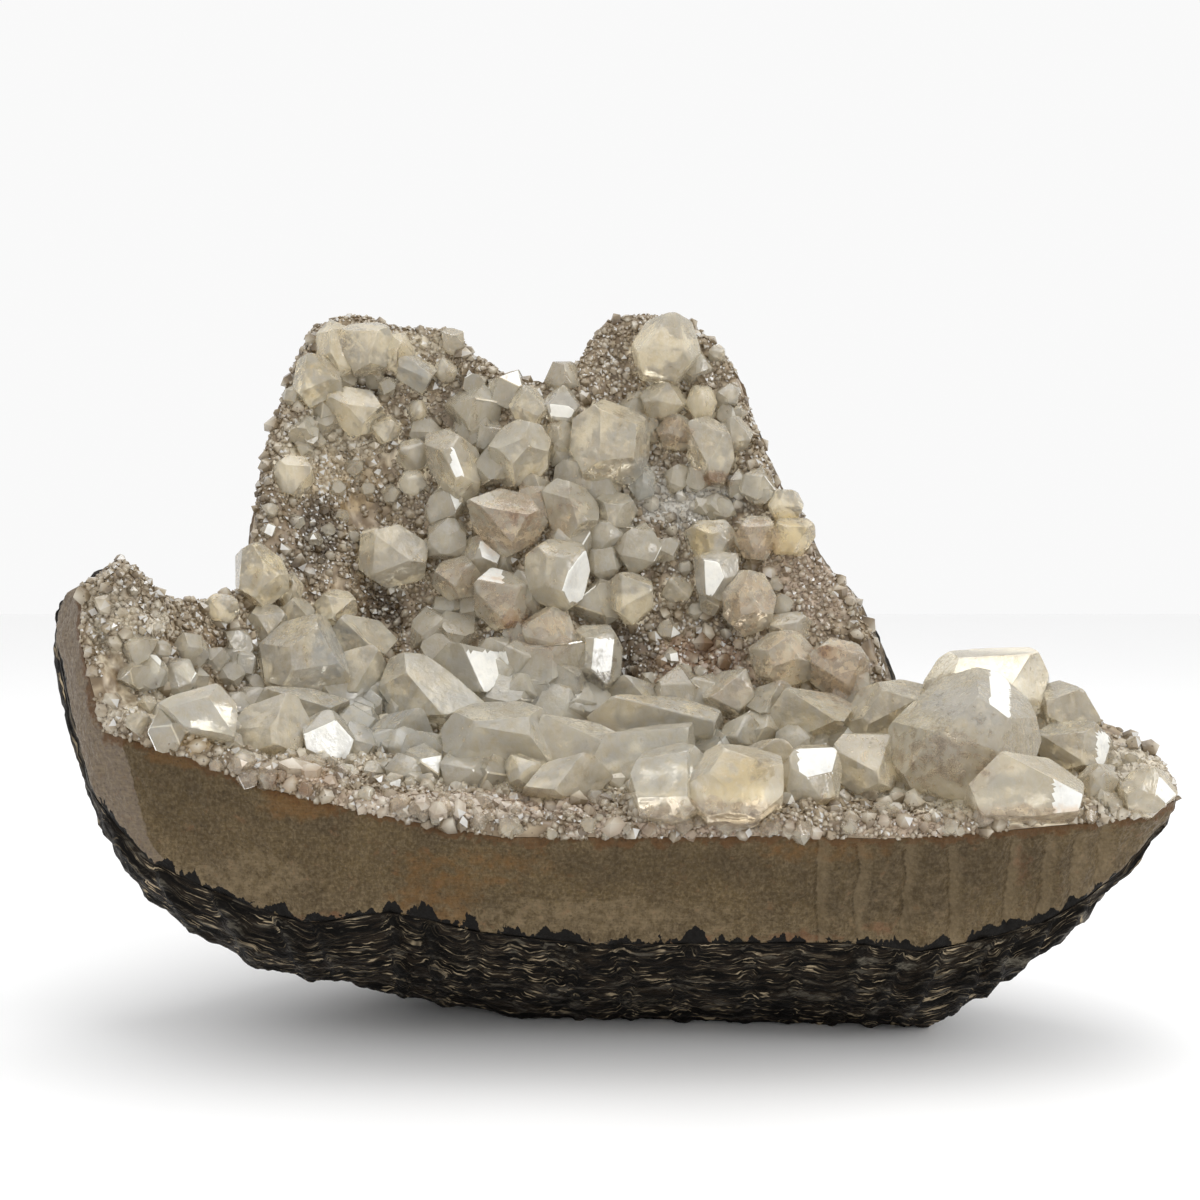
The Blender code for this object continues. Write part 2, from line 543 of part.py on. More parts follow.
def solid_between(name, upper, lower, peaks=None, middle=None, hidden=()):
    """A closed object between two sheets, of which the hidden ones get fewer points.

    Peaks raise the middle of the upper cells, and middle gives the edge a row of its own.
    """
    columns, rows = upper.shape[:2]
    count = columns * rows
    points = [*upper.reshape(-1, 3), *lower.reshape(-1, 3)]
    faces = (sparse_faces if "lower" in hidden else grid_faces)(columns, rows, count, True)
    if peaks is None:
        faces += (sparse_faces if "upper" in hidden else grid_faces)(columns, rows, 0, False)
    else:
        for i in range(columns - 1):
            for j in range(rows - 1):
                corners = [i * rows + j, (i + 1) * rows + j, (i + 1) * rows + j + 1, i * rows + j + 1]
                top = len(points)
                points.append(peaks[i, j])
                faces += [(corners[k], corners[(k + 1) % 4], top) for k in range(4)]
    loop = border_loop(columns, rows)
    ring = [count + index for index in loop]
    if middle is not None:
        first = len(points)
        points += [middle(index % count, points[index], points[other]) for index, other in zip(loop, ring)]
        row = list(range(first, first + len(loop)))
        faces += edge_strip(loop, row) + edge_strip(row, ring)
    else:
        faces += edge_strip(loop, ring)
    return new_object(name, points, faces)


def edge_strip(upper, lower):
    """Triangles between two closed loops of the same length."""
    faces = []
    for k in range(len(upper)):
        after = (k + 1) % len(upper)
        faces.append((upper[k], lower[k], lower[after]))
        faces.append((upper[k], lower[after], upper[after]))
    return faces


def new_object(name, points, faces):
    """A mesh object in the scene, with its faces pointing out."""
    mesh = bpy.data.meshes.new(name)
    mesh.from_pydata([tuple(point) for point in points], [], faces)
    shape = bmesh.new()
    shape.from_mesh(mesh)
    spare = [vertex for vertex in shape.verts if not vertex.link_faces]
    bmesh.ops.delete(shape, geom=spare, context="VERTS")
    bmesh.ops.recalc_face_normals(shape, faces=shape.faces)
    if shape.calc_volume(signed=True) < 0:
        bmesh.ops.reverse_faces(shape, faces=shape.faces)
    shape.to_mesh(mesh)
    shape.free()
    thing = bpy.data.objects.new(name, mesh)
    bpy.context.scene.collection.objects.link(thing)
    return thing


def stone(name, colour, roughness, see_through=0.0):
    """A plain finish for one kind of mineral."""
    finish = bpy.data.materials.new(name)
    finish.use_nodes = True
    shader = finish.node_tree.nodes["Principled BSDF"]
    shader.inputs["Base Color"].default_value = colour
    shader.inputs["Roughness"].default_value = roughness
    shader.inputs["Metallic"].default_value = 0.0
    shader.inputs["Transmission Weight"].default_value = see_through
    finish.diffuse_color = colour
    return finish


def make_rind(columns, contact):
    """The dark rind, with a scalloped ledge along its broken front edge."""
    outside = outside_sheet(columns)
    count_rows = ROWS + 1

    def ledge(index, upper, lower):
        """The middle of the broken edge, stepped in and out along the front."""
        point = (np.array(upper) + np.array(lower)) / 2
        if index % count_rows == 0:
            size, most = RIND_EDGE_RELIEF
            wave = noise.noise(Vector(point) / size + Vector((5, 1, 9)))
            point = point + np.array(RIND_EDGE_STEP) + np.array((0, most * wave, 0))
        return point

    return solid_between("banded_rind", contact, outside, middle=ledge, hidden=("upper",))


def make_wall(hollow, contact):
    """The massive quartz between the rind and the crust, a gap clear of the rind."""
    inner_contact = contact + sheet_normals(contact) * GAP
    count_rows = ROWS + 1

    def broken_face(index, upper, lower):
        """The middle of the broken faces, a little uneven."""
        point = (np.array(upper) + np.array(lower)) / 2
        size, most = BROKEN_RELIEF
        wave = most * noise.noise(Vector(point) / size + Vector((2, 8, 3)))
        return point + np.array((0, -wave, wave) if index % count_rows else (0, wave, 0))

    both = ("upper", "lower")
    return solid_between("quartz_wall", hollow, inner_contact, middle=broken_face, hidden=both)


def make_crust(hollow):
    """The crust of small crystals: an uneven sheet with a peak in each cell."""
    normals = sheet_normals(hollow)
    fade = inward_fade(hollow, 2.0)
    room = room_for_relief(hollow)
    chance = np.random.default_rng(11)
    thickness = CRUST_EDGE_THICKNESS + (CRUST_THICKNESS - CRUST_EDGE_THICKNESS) * fade
    thickness = thickness * (THIN_CRUST + (1 - THIN_CRUST) * room)
    thickness = thickness + chance.uniform(-CRUST_ROUGHNESS, CRUST_ROUGHNESS, fade.shape) * room
    top = hollow + normals * thickness[..., None]
    middle = (top[:-1, :-1] + top[1:, :-1] + top[:-1, 1:] + top[1:, 1:]) / 4
    up = (normals[:-1, :-1] + normals[1:, 1:]) / 2
    cell_room = room[:-1, :-1] * room[1:, 1:]
    height = chance.uniform(LOWEST_PEAK, 1.0, middle.shape[:2]) * PEAK_HEIGHT * cell_room
    sideways = chance.uniform(-1, 1, middle.shape) * PEAK_SHIFT * cell_room[..., None]
    peaks = middle + up * height[..., None] + sideways
    under = hollow + normals * GAP
    return solid_between("quartz_druse", top, under, peaks=peaks, hidden=("lower",))


def hide(cutter):
    """Leaves a cutter out of the part."""
    cutter.hide_render = True
    cutter.display_type = "WIRE"
    return cutter


def room_for(thing):
    """A hidden copy of a solid with its surface moved out, which trims what stands beside it."""
    mesh = thing.data.copy()
    shape = bmesh.new()
    shape.from_mesh(mesh)
    shape.normal_update()
    moves = [vertex.normal * GAP * CORNER_GAP for vertex in shape.verts]
    for vertex, move in zip(shape.verts, moves):
        vertex.co += move
    shape.to_mesh(mesh)
    shape.free()
    cutter = bpy.data.objects.new(f"room_for_{thing.name}", mesh)
    bpy.context.scene.collection.objects.link(cutter)
    return hide(cutter)


class HalfSpaces:
    """A convex crystal as flat faces, each with an outward normal and a point on it."""

    def __init__(self, middle, reach):
        self.middle = middle
        self.reach = reach
        self.faces = []

    def add(self, normal, point):
        """Adds one flat face."""
        self.faces.append((normal.normalized(), point.copy()))

    def shape(self, grow=0.0):
        """The solid inside all the faces, each moved out by grow."""
        solid = bmesh.new()
        bmesh.ops.create_cube(solid, size=2 * (self.reach + grow))
        bmesh.ops.translate(solid, verts=solid.verts, vec=self.middle)
        for normal, point in self.faces:
            cut_flat(solid, normal, point + normal * grow)
        bmesh.ops.remove_doubles(solid, verts=solid.verts, dist=0.00004)
        return solid


def cut_flat(solid, normal, point):
    """Cuts away what lies outside a flat face and closes the cut."""
    everything = solid.verts[:] + solid.edges[:] + solid.faces[:]
    bmesh.ops.bisect_plane(
        solid, geom=everything, dist=1e-7, plane_co=point, plane_no=normal, clear_outer=True
    )
    rim = [edge for edge in solid.edges if edge.is_boundary]
    if rim:
        bmesh.ops.contextual_create(solid, geom=rim)


def outline_of(crystal, chance):
    """Corners of the crystal's outline in the view, read or made from its size."""
    if crystal.outline:
        return list(crystal.outline)
    corners = []
    start = math.radians(crystal.turn) + chance.uniform(-0.3, 0.3)
    for k in range(6):
        angle = start + math.tau * (k + chance.uniform(-0.16, 0.16)) / 6
        across = math.cos(angle) * crystal.width / 2 * chance.uniform(*CORNER_SPREAD)
        rise = math.sin(angle) * crystal.height / 2 * chance.uniform(*CORNER_SPREAD)
        corners.append((crystal.x + across, crystal.y + rise))
    return corners


def stand_on(crust, crystal):
    """Where the crystal meets the crust, the way out of the crust there, and the crystal's own middle."""
    y = crystal.y + crystal.height * (crystal.foot - 0.5)
    place = None
    while place is None:
        foot_line = sight_line(crystal.x, y)
        place, normal, _, _ = crust.ray_cast(VIEW_POINT, foot_line)
        y += FOOT_STEP
    if normal.dot(foot_line) > 0:
        normal = -normal
    line = sight_line(crystal.x, crystal.y)
    size = crystal_size(crystal, place)
    middle = VIEW_POINT + line * ((place.y - VIEW_POINT.y - size * STANDS_PROUD) / line.y)
    return place, normal, middle


def crystal_size(crystal, place):
    """The crystal's real mean width at the place where it stands."""
    return (crystal.width + crystal.height) / 2 / VIEW_FOCAL * (place.y - VIEW_POINT.y)


def wide_normal(crust, place, radius):
    """The way out of the crust, as a mean over a small neighbourhood."""
    total = Vector((0, 0, 0))
    for _, normal, _, away in crust.find_nearest_range(place, radius):
        total += normal * (1 - away / radius * 0.5)
    return total.normalized()


def crystal_faces(crust, crystal, number):
    """The flat faces of one crystal, standing on the crust where the view shows it."""
    chance = random.Random(number * 31 + 7)
    place, normal, middle = stand_on(crust, crystal)
    size = crystal_size(crystal, place)
    normal = wide_normal(crust, place, max(LEAST_NEIGHBOURHOOD, size * 0.8))
    to_viewer = (VIEW_POINT - middle).normalized()
    jitter = Vector([chance.uniform(-AXIS_SPREAD, AXIS_SPREAD) for _ in range(3)])
    axis = (normal * AXIS_TO_CRUST + to_viewer * (1 - AXIS_TO_CRUST) + jitter).normalized()
    wide, narrow, table = HABITS[crystal.habit]
    rim = []
    for x, y in outline_of(crystal, chance):
        line = sight_line(x, y)
        reach = (middle - VIEW_POINT).dot(axis) / line.dot(axis)
        rim.append(VIEW_POINT + line * reach)
    centre = sum(rim, Vector()) / len(rim)
    solid = HalfSpaces(centre, size * 1.6)
    first = chance.randrange(2)
    period = max(2, len(rim) // 2) if crystal.habit == "wedge" else 2
    for k, corner in enumerate(rim):
        edge = rim[(k + 1) % len(rim)] - corner
        outward = edge.cross(axis).normalized()
        if outward.dot((corner + rim[(k + 1) % len(rim)]) / 2 - centre) < 0:
            outward = -outward
        solid.add(outward, corner)
        slope = wide if (k + first) % period == 0 else narrow
        if slope is not None:
            slope = math.radians(slope + chance.uniform(-FACE_SPREAD, FACE_SPREAD))
            solid.add(outward * math.sin(slope) + axis * math.cos(slope), corner)
    if table is not None:
        lean = Vector([chance.uniform(-1, 1) * math.radians(table) for _ in range(3)])
        solid.add(axis + lean, centre + axis * size * chance.uniform(*TABLE_HEIGHT))
    else:
        solid.add(axis + jitter, centre + axis * size * chance.uniform(*TIP_HEIGHT))
    if crystal.flash:
        depth = FLASH_REACH - FLASH_SHARE * crystal.flash
        solid.add(FLASH_FACE, centre + FLASH_FACE * size * depth)
    solid.add(-normal, place - normal * SEAT_DEPTH)
    return solid


def overlap(first, second):
    """Whether two crystals, each grown by the gap, share any room."""
    if (first.middle - second.middle).length > (first.reach + second.reach):
        return False
    common = first.shape(GAP)
    for normal, point in second.faces:
        cut_flat(common, normal, point + normal * GAP)
        if not common.faces:
            break
    shared = len(common.faces) > 3 and abs(common.calc_volume()) > 1e-12
    common.free()
    return shared


def grown_together(solids):
    """Groups of crystals that touch or overlap, as lists of their numbers."""
    group = list(range(len(solids)))
    for i in range(len(solids)):
        for j in range(i + 1, len(solids)):
            if group[i] != group[j] and overlap(solids[i], solids[j]):
                old, new = group[j], group[i]
                group = [new if number == old else number for number in group]
    return [[i for i in range(len(solids)) if group[i] == number] for number in sorted(set(group))]


def object_of(name, solid, hidden=False):
    """An object made from a crystal's bmesh, which is freed."""
    mesh = bpy.data.meshes.new(name)
    if solid.calc_volume(signed=True) < 0:
        bmesh.ops.reverse_faces(solid, faces=solid.faces)
    solid.to_mesh(mesh)
    solid.free()
    thing = bpy.data.objects.new(name, mesh)
    bpy.context.scene.collection.objects.link(thing)
    return hide(thing) if hidden else thing


def combine(thing, others, operation):
    """Adds a Boolean of this object with each of the others."""
    for number, other in enumerate(others):
        modifier = thing.modifiers.new(f"{operation.lower()}_{number}", "BOOLEAN")
        modifier.operation = operation
        modifier.solver = "EXACT"
        modifier.object = other


def bodies_in(shape):
    """The separate bodies of a mesh, as lists of faces."""
    left = set(shape.faces)
    found = []
    while left:
        body = {left.pop()}
        front = list(body)
        while front:
            face = front.pop()
            for edge in face.edges:
                near = [other for other in edge.link_faces if other in left]
                left.difference_update(near)
                body.update(near)
                front += near
        found.append(list(body))
    return found


def holds(body, place):
    """Whether a place lies in the box round a body."""
    points = [vertex.co for face in body for vertex in face.verts]
    inside = [min(p[k] for p in points) < place[k] < max(p[k] for p in points) for k in range(3)]
    return all(inside)


def keep_body(thing, body):
    """Leaves only these faces in the object's mesh."""
    shape = bmesh.new()
    shape.from_mesh(thing.data)
    loose = [face for face in shape.faces if face.index not in body]
    bmesh.ops.delete(shape, geom=loose, context="FACES")
    spare = [vertex for vertex in shape.verts if not vertex.link_faces]
    bmesh.ops.delete(shape, geom=spare, context="VERTS")
    shape.to_mesh(thing.data)
    shape.free()


def settle_crystals(thing, middles):
    """Makes each body of a group its own object, without the chips behind the crust."""
    graph = bpy.context.evaluated_depsgraph_get()
    thing.data = bpy.data.meshes.new_from_object(thing.evaluated_get(graph))
    thing.modifiers.clear()
    shape = bmesh.new()
    shape.from_mesh(thing.data)
    kept = [body for body in bodies_in(shape) if any(holds(body, middle) for middle in middles)]
    kept = [{face.index for face in body} for body in sorted(kept, key=len, reverse=True)]
    shape.free()
    made = [thing]
    for _ in kept[1:]:
        part = thing.copy()
        part.data = thing.data.copy()
        bpy.context.scene.collection.objects.link(part)
        made.append(part)
    for part, body in zip(made, kept):
        keep_body(part, body)
    return made


def make_crystals(crust, rooms, finish):
    """The milky crystals, joined where they grew together and trimmed to stand on the crust."""
    solids = [crystal_faces(crust, crystal, number) for number, crystal in enumerate(CRYSTALS)]
    nodes = []
    used = {}
    for members in grown_together(solids):
        lead = max(members, key=lambda number: CRYSTALS[number].width * CRYSTALS[number].height)
        name = f"apophyllite_{CRYSTALS[lead].node}"
        thing = object_of("crystal", solids[lead].shape())
        rest = [object_of("joined_crystal", solids[n].shape(), True) for n in members if n != lead]
        combine(thing, rest, "UNION")
        combine(thing, rooms, "DIFFERENCE")
        thing.data.materials.append(finish)
        for part in settle_crystals(thing, [solids[n].middle for n in members]):
            used[name] = used.get(name, 0) + 1
            part.name = name if used[name] == 1 else f"{name}_{used[name]}"
            nodes.append(part)
    return nodes


def clear_scene():
    """Removes what the scene holds."""
    for thing in list(bpy.data.objects):
        bpy.data.objects.remove(thing)


def centre_on_origin(things):
    """Moves everything so that the origin is the middle of the bottom of the box."""
    corners = []
    graph = bpy.context.evaluated_depsgraph_get()
    for thing in things:
        mesh = thing.evaluated_get(graph).to_mesh()
        points = np.empty(len(mesh.vertices) * 3, np.float32)
        mesh.vertices.foreach_get("co", points)
        points = points.reshape(-1, 3)
        corners += [points.min(axis=0), points.max(axis=0)]
    low = np.min(corners, axis=0)
    high = np.max(corners, axis=0)
    shift = Vector((-(low[0] + high[0]) / 2, -(low[1] + high[1]) / 2, -low[2]))
    print("moved by", [round(value, 5) for value in shift])
    for thing in bpy.data.objects:
        for vertex in thing.data.vertices:
            vertex.co += shift


def main():
    """Builds the specimen."""
    clear_scene()
    columns = np.array([row[0] for row in CREST], float)
    hollow = hollow_side(columns)
    contact = contact_sheet(columns)
    rind = make_rind(columns, contact)
    wall = make_wall(hollow, contact)
    druse = make_crust(hollow)
    rind.data.materials.append(stone("rind", RIND_COLOUR, 0.6))
    wall.data.materials.append(stone("massive_quartz", QUARTZ_COLOUR, 0.45))
    druse.data.materials.append(stone("quartz_crystals", DRUSE_COLOUR, 0.3))
    surface = bmesh.new()
    surface.from_mesh(druse.data)
    crust = BVHTree.FromBMesh(surface)
    surface.free()
    finish = stone("apophyllite", CRYSTAL_COLOUR, 0.2, 0.4)
    crystals = make_crystals(crust, [room_for(druse), room_for(wall)], finish)
    centre_on_origin([rind, wall, druse, *crystals])


main()
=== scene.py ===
"""Looks of a specimen of apophyllite on quartz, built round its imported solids.

The dark banded rind, the broken massive quartz, the crust of small quartz points and the milky
crystals each have a class that shapes and dresses them. Lengths are in metres unless a name says
millimetres. Places on the specimen are given as the camera sees them, in a 1200 x 1200 view.
"""

import logging
import math
from collections.abc import Callable, Iterable, Sequence
from dataclasses import dataclass, field
from enum import Enum

import bmesh
import bpy
import numpy as np
from mathutils import Matrix, Vector
from mathutils.bvhtree import BVHTree
from mathutils.kdtree import KDTree


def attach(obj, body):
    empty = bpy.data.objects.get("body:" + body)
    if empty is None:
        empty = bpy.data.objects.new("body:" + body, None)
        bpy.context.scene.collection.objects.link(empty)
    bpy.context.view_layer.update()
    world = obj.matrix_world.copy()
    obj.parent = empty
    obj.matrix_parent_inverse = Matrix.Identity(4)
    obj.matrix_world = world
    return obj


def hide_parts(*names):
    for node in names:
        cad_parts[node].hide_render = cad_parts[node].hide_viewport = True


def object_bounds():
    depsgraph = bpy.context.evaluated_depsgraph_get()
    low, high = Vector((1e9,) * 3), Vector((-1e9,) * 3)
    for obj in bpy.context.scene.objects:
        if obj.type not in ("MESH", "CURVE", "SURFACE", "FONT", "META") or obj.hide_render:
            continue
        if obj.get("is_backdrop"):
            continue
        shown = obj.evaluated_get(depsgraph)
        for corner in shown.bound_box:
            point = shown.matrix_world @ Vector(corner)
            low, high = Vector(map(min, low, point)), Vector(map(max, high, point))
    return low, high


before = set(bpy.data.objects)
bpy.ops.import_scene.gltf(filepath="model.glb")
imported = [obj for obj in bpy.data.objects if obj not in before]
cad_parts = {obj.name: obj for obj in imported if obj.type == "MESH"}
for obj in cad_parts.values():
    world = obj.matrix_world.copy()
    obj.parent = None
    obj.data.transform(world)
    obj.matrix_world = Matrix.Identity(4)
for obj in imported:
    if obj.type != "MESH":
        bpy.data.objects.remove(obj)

log = logging.getLogger("specimen")

BODY = "root"
MM = 0.001
WELD = 1e-6
RIND = "banded_rind"
WALL = "quartz_wall"
CRUST = "quartz_druse"
CRYSTAL_PREFIX = "apophyllite_"

Colour = tuple[float, float, float, float]
Socket = bpy.types.NodeSocket


class Tint(Enum):
    """What a place on the specimen is coloured with. The value names the attribute that carries it."""

    # Darker patches; in the crust's hollows and along the rim they are painted shade.
    SHADE = "shade"
    PALE = "pale"
    SAND = "sand"
    RUST = "rust"
    BLUSH = "blush"
    FROST = "frost"
    MILK = "milk"


class Slot(Enum):
    """The record's material slots."""

    RIND = "rind"
    WALL = "massive_quartz"
    CRUST = "quartz_crystals"
    CRYSTAL = "apophyllite"


@dataclass(frozen=True)
class View:
    """The camera's place and lens, and where points fall in its picture."""

    place: tuple[float, float, float] = (-0.00135, -0.55796, 0.165)
    pitch: float = math.atan(60 / 1600)
    focal: float = 1600.0
    side: float = 1200.0
    sensor_mm: float = 36.0

    def sight(self, x: float, y: float) -> Vector:
        """The direction from the camera through a place in the picture.

        Args:
            x: How far right, in pixels.
            y: How far down, in pixels.

        Returns:
            The direction, as a unit vector.
        """
        across = (x - self.side / 2) / self.focal
        rise = (self.side / 2 - y) / self.focal
        forward = Vector((0, math.cos(self.pitch), -math.sin(self.pitch)))
        up = Vector((0, math.sin(self.pitch), math.cos(self.pitch)))
        return (forward + across * Vector((1, 0, 0)) + rise * up).normalized()

    def pixels(self, points: np.ndarray) -> np.ndarray:
        """Where points in space fall in the picture.

        Args:
            points: One row of x, y and z for each point.

        Returns:
            One row of pixels right and down for each point.
        """
        away = points - np.array(self.place)
        forward = away @ np.array((0, math.cos(self.pitch), -math.sin(self.pitch)))
        up = away @ np.array((0, math.sin(self.pitch), math.cos(self.pitch)))
        x = self.side / 2 + self.focal * away[:, 0] / forward
        y = self.side / 2 - self.focal * up / forward
        return np.stack([x, y], axis=1)

    def camera(self) -> None:
        """Makes the scene's camera."""
        lens = bpy.data.cameras.new("view")
        lens.sensor_width = self.sensor_mm
        lens.lens = self.sensor_mm * self.focal / self.side
        lens.clip_start = 0.01
        lens.clip_end = 20
        thing = bpy.data.objects.new("view", lens)
        thing.location = self.place
        thing.rotation_euler = (math.pi / 2 - self.pitch, 0, 0)
        bpy.context.scene.collection.objects.link(thing)
        bpy.context.scene.camera = thing


VIEW = View()

# A patch's edge: how ragged it is, the size of its lumps in metres, and where it ends and how
# wide it fades, as shares of the patch's half size.
PATCH_RAGGED = 0.35
PATCH_GRAIN = 0.011
PATCH_END = 1.35
PATCH_FADE = 0.8


@dataclass(frozen=True)
class Patch:
    """A soft-edged patch of one tint, where the camera sees it.

    Its middle, half width and half height are in pixels of the view.
    """

    tint: Tint
    x: float
    y: float
    across: float
    down: float
    strength: float = 1.0


def tinted(tint: Tint, *places: tuple[float, ...]) -> list[Patch]:
    """Patches of one tint, from their middles, half sizes and strengths."""
    return [Patch(tint, *place) for place in places]


def patch_values(laid: Sequence[Patch], points: np.ndarray, grain: "Grain") -> dict[str, np.ndarray]:
    """How much of each tint every point has.

    Args:
        laid: The patches that lie on the piece.
        points: The piece's points.
        grain: Noise that makes the patches ragged.

    Returns:
        For each tint's attribute name, one value from 0 to 1 for each point.
    """
    seen = VIEW.pixels(points)
    ragged = PATCH_RAGGED * grain.layered(points, PATCH_GRAIN, 3)
    found = {tint.value: np.zeros(len(points)) for tint in Tint}
    for patch in laid:
        away = np.hypot((seen[:, 0] - patch.x) / patch.across, (seen[:, 1] - patch.y) / patch.down)
        share = np.clip((PATCH_END - away + ragged) / PATCH_FADE, 0, 1)
        share = patch.strength * share * share * (3 - 2 * share)
        found[patch.tint.value] = np.maximum(found[patch.tint.value], share)
    return found


class Grain:
    """Smooth noise in space that is the same each time for the same seed."""

    def __init__(self, seed: int) -> None:
        """Draws the noise's directions.

        Args:
            seed: Which noise it is.
        """
        chance = np.random.default_rng(seed)
        self.order = np.concatenate([chance.permutation(256)] * 2)
        ways = chance.normal(size=(256, 3))
        self.ways = ways / np.linalg.norm(ways, axis=1, keepdims=True)

    def at(self, points: np.ndarray, size: float) -> np.ndarray:
        """Noise of one scale.

        Args:
            points: Where it is wanted.
            size: The width of its lumps.

        Returns:
            About -1 to 1 for each point.
        """
        scaled = points / size + 37.7
        cell = np.floor(scaled).astype(np.int64)
        part = scaled - cell
        ease = part * part * part * (part * (part * 6 - 15) + 10)
        total = np.zeros(len(points))
        for corner in range(8):
            step = np.array((corner & 1, corner >> 1 & 1, corner >> 2))
            spot = (cell + step) & 255
            chosen = self.order[self.order[self.order[spot[:, 0]] + spot[:, 1]] + spot[:, 2]]
            value = ((part - step) * self.ways[chosen]).sum(axis=1)
            weight = np.where(step == 1, ease, 1 - ease).prod(axis=1)
            total += value * weight
        return total * 1.6

    def layered(self, points: np.ndarray, size: float, layers: int, fall: float = 0.5) -> np.ndarray:
        """Noise of several scales, each half as wide as the last.

        Args:
            points: Where it is wanted.
            size: The width of the largest lumps.
            layers: How many scales there are.
            fall: How much weaker each scale is than the last.

        Returns:
            About -1 to 1 for each point.
        """
        total = np.zeros(len(points))
        for layer in range(layers):
            total += fall ** layer * self.at(points + 0.31 * layer, size / 2 ** layer)
        return total

    def ridged(self, points: np.ndarray, size: float, layers: int = 2) -> np.ndarray:
        """Noise with sharp crests, from 0 to 1.

        Args:
            points: Where it is wanted.
            size: The distance between crests.
            layers: How many scales there are.

        Returns:
            One value for each point.
        """
        total = np.zeros(len(points))
        for layer in range(layers):
            crest = 1 - np.abs(self.at(points + 0.17 * layer, size / 2 ** layer)) * 1.6
            total += 0.5 ** layer * crest
        return np.clip(total / (2 - 0.5 ** (layers - 1)), 0, 1)


@dataclass(frozen=True)
class Stroke:
    """A straight line across the view, from one place in pixels to another."""

    x0: float
    y0: float
    x1: float
    y1: float
    strength: float = 1.0

    def away(self, seen: np.ndarray) -> np.ndarray:
        """How far each place in the view is from the line, in pixels."""
        start = np.array((self.x0, self.y0))
        along = np.array((self.x1, self.y1)) - start
        share = np.clip((seen - start) @ along / (along @ along), 0, 1)
        return np.linalg.norm(seen - start - share[:, None] * along, axis=1)


# The narrow ribs along the rind's broken edge, from their tops in the quartz to the sole.
RIBS = (
    Stroke(112, 822, 142, 872), Stroke(164, 868, 192, 926), Stroke(221, 892, 256, 966),
    Stroke(279, 910, 311, 976), Stroke(318, 918, 337, 968, 0.8), Stroke(393, 908, 404, 996),
    Stroke(426, 902, 443, 1004), Stroke(471, 914, 478, 990, 0.7), Stroke(514, 934, 521, 1004, 0.5),
    Stroke(549, 922, 556, 1006, 0.7), Stroke(568, 930, 579, 1014, 0.8), Stroke(621, 950, 630, 1016, 0.8),
    Stroke(678, 968, 682, 1020, 0.7), Stroke(697, 932, 690, 950),
    Stroke(752, 944, 744, 1024, 0.6), Stroke(800, 946, 786, 1026, 0.6), Stroke(862, 944, 834, 1024, 0.8),
    Stroke(902, 950, 868, 1024, 0.9), Stroke(941, 940, 904, 1018), Stroke(990, 932, 952, 1008),
    Stroke(1014, 926, 984, 996), Stroke(1046, 918, 1010, 976), Stroke(1078, 908, 1048, 948, 0.7),
)


def rib_height(points: np.ndarray, grain: "Grain", width: float = 8.0) -> np.ndarray:
    """How high the rind's ribs stand, from 0 to 1.

    Args:
        points: Where it is wanted.
        grain: Noise that makes the ribs uneven.
        width: How wide a rib is, in pixels of the view.

    Returns:
        One value for each point.
    """
    wander = np.stack([4 * grain.at(points, 0.008), 3 * grain.at(points + 0.3, 0.008)], axis=1)
    seen = VIEW.pixels(points) + wander
    found = np.zeros(len(points))
    for rib in RIBS:
        found = np.maximum(found, rib.strength * np.exp(-(rib.away(seen) / width) ** 2))
    return found


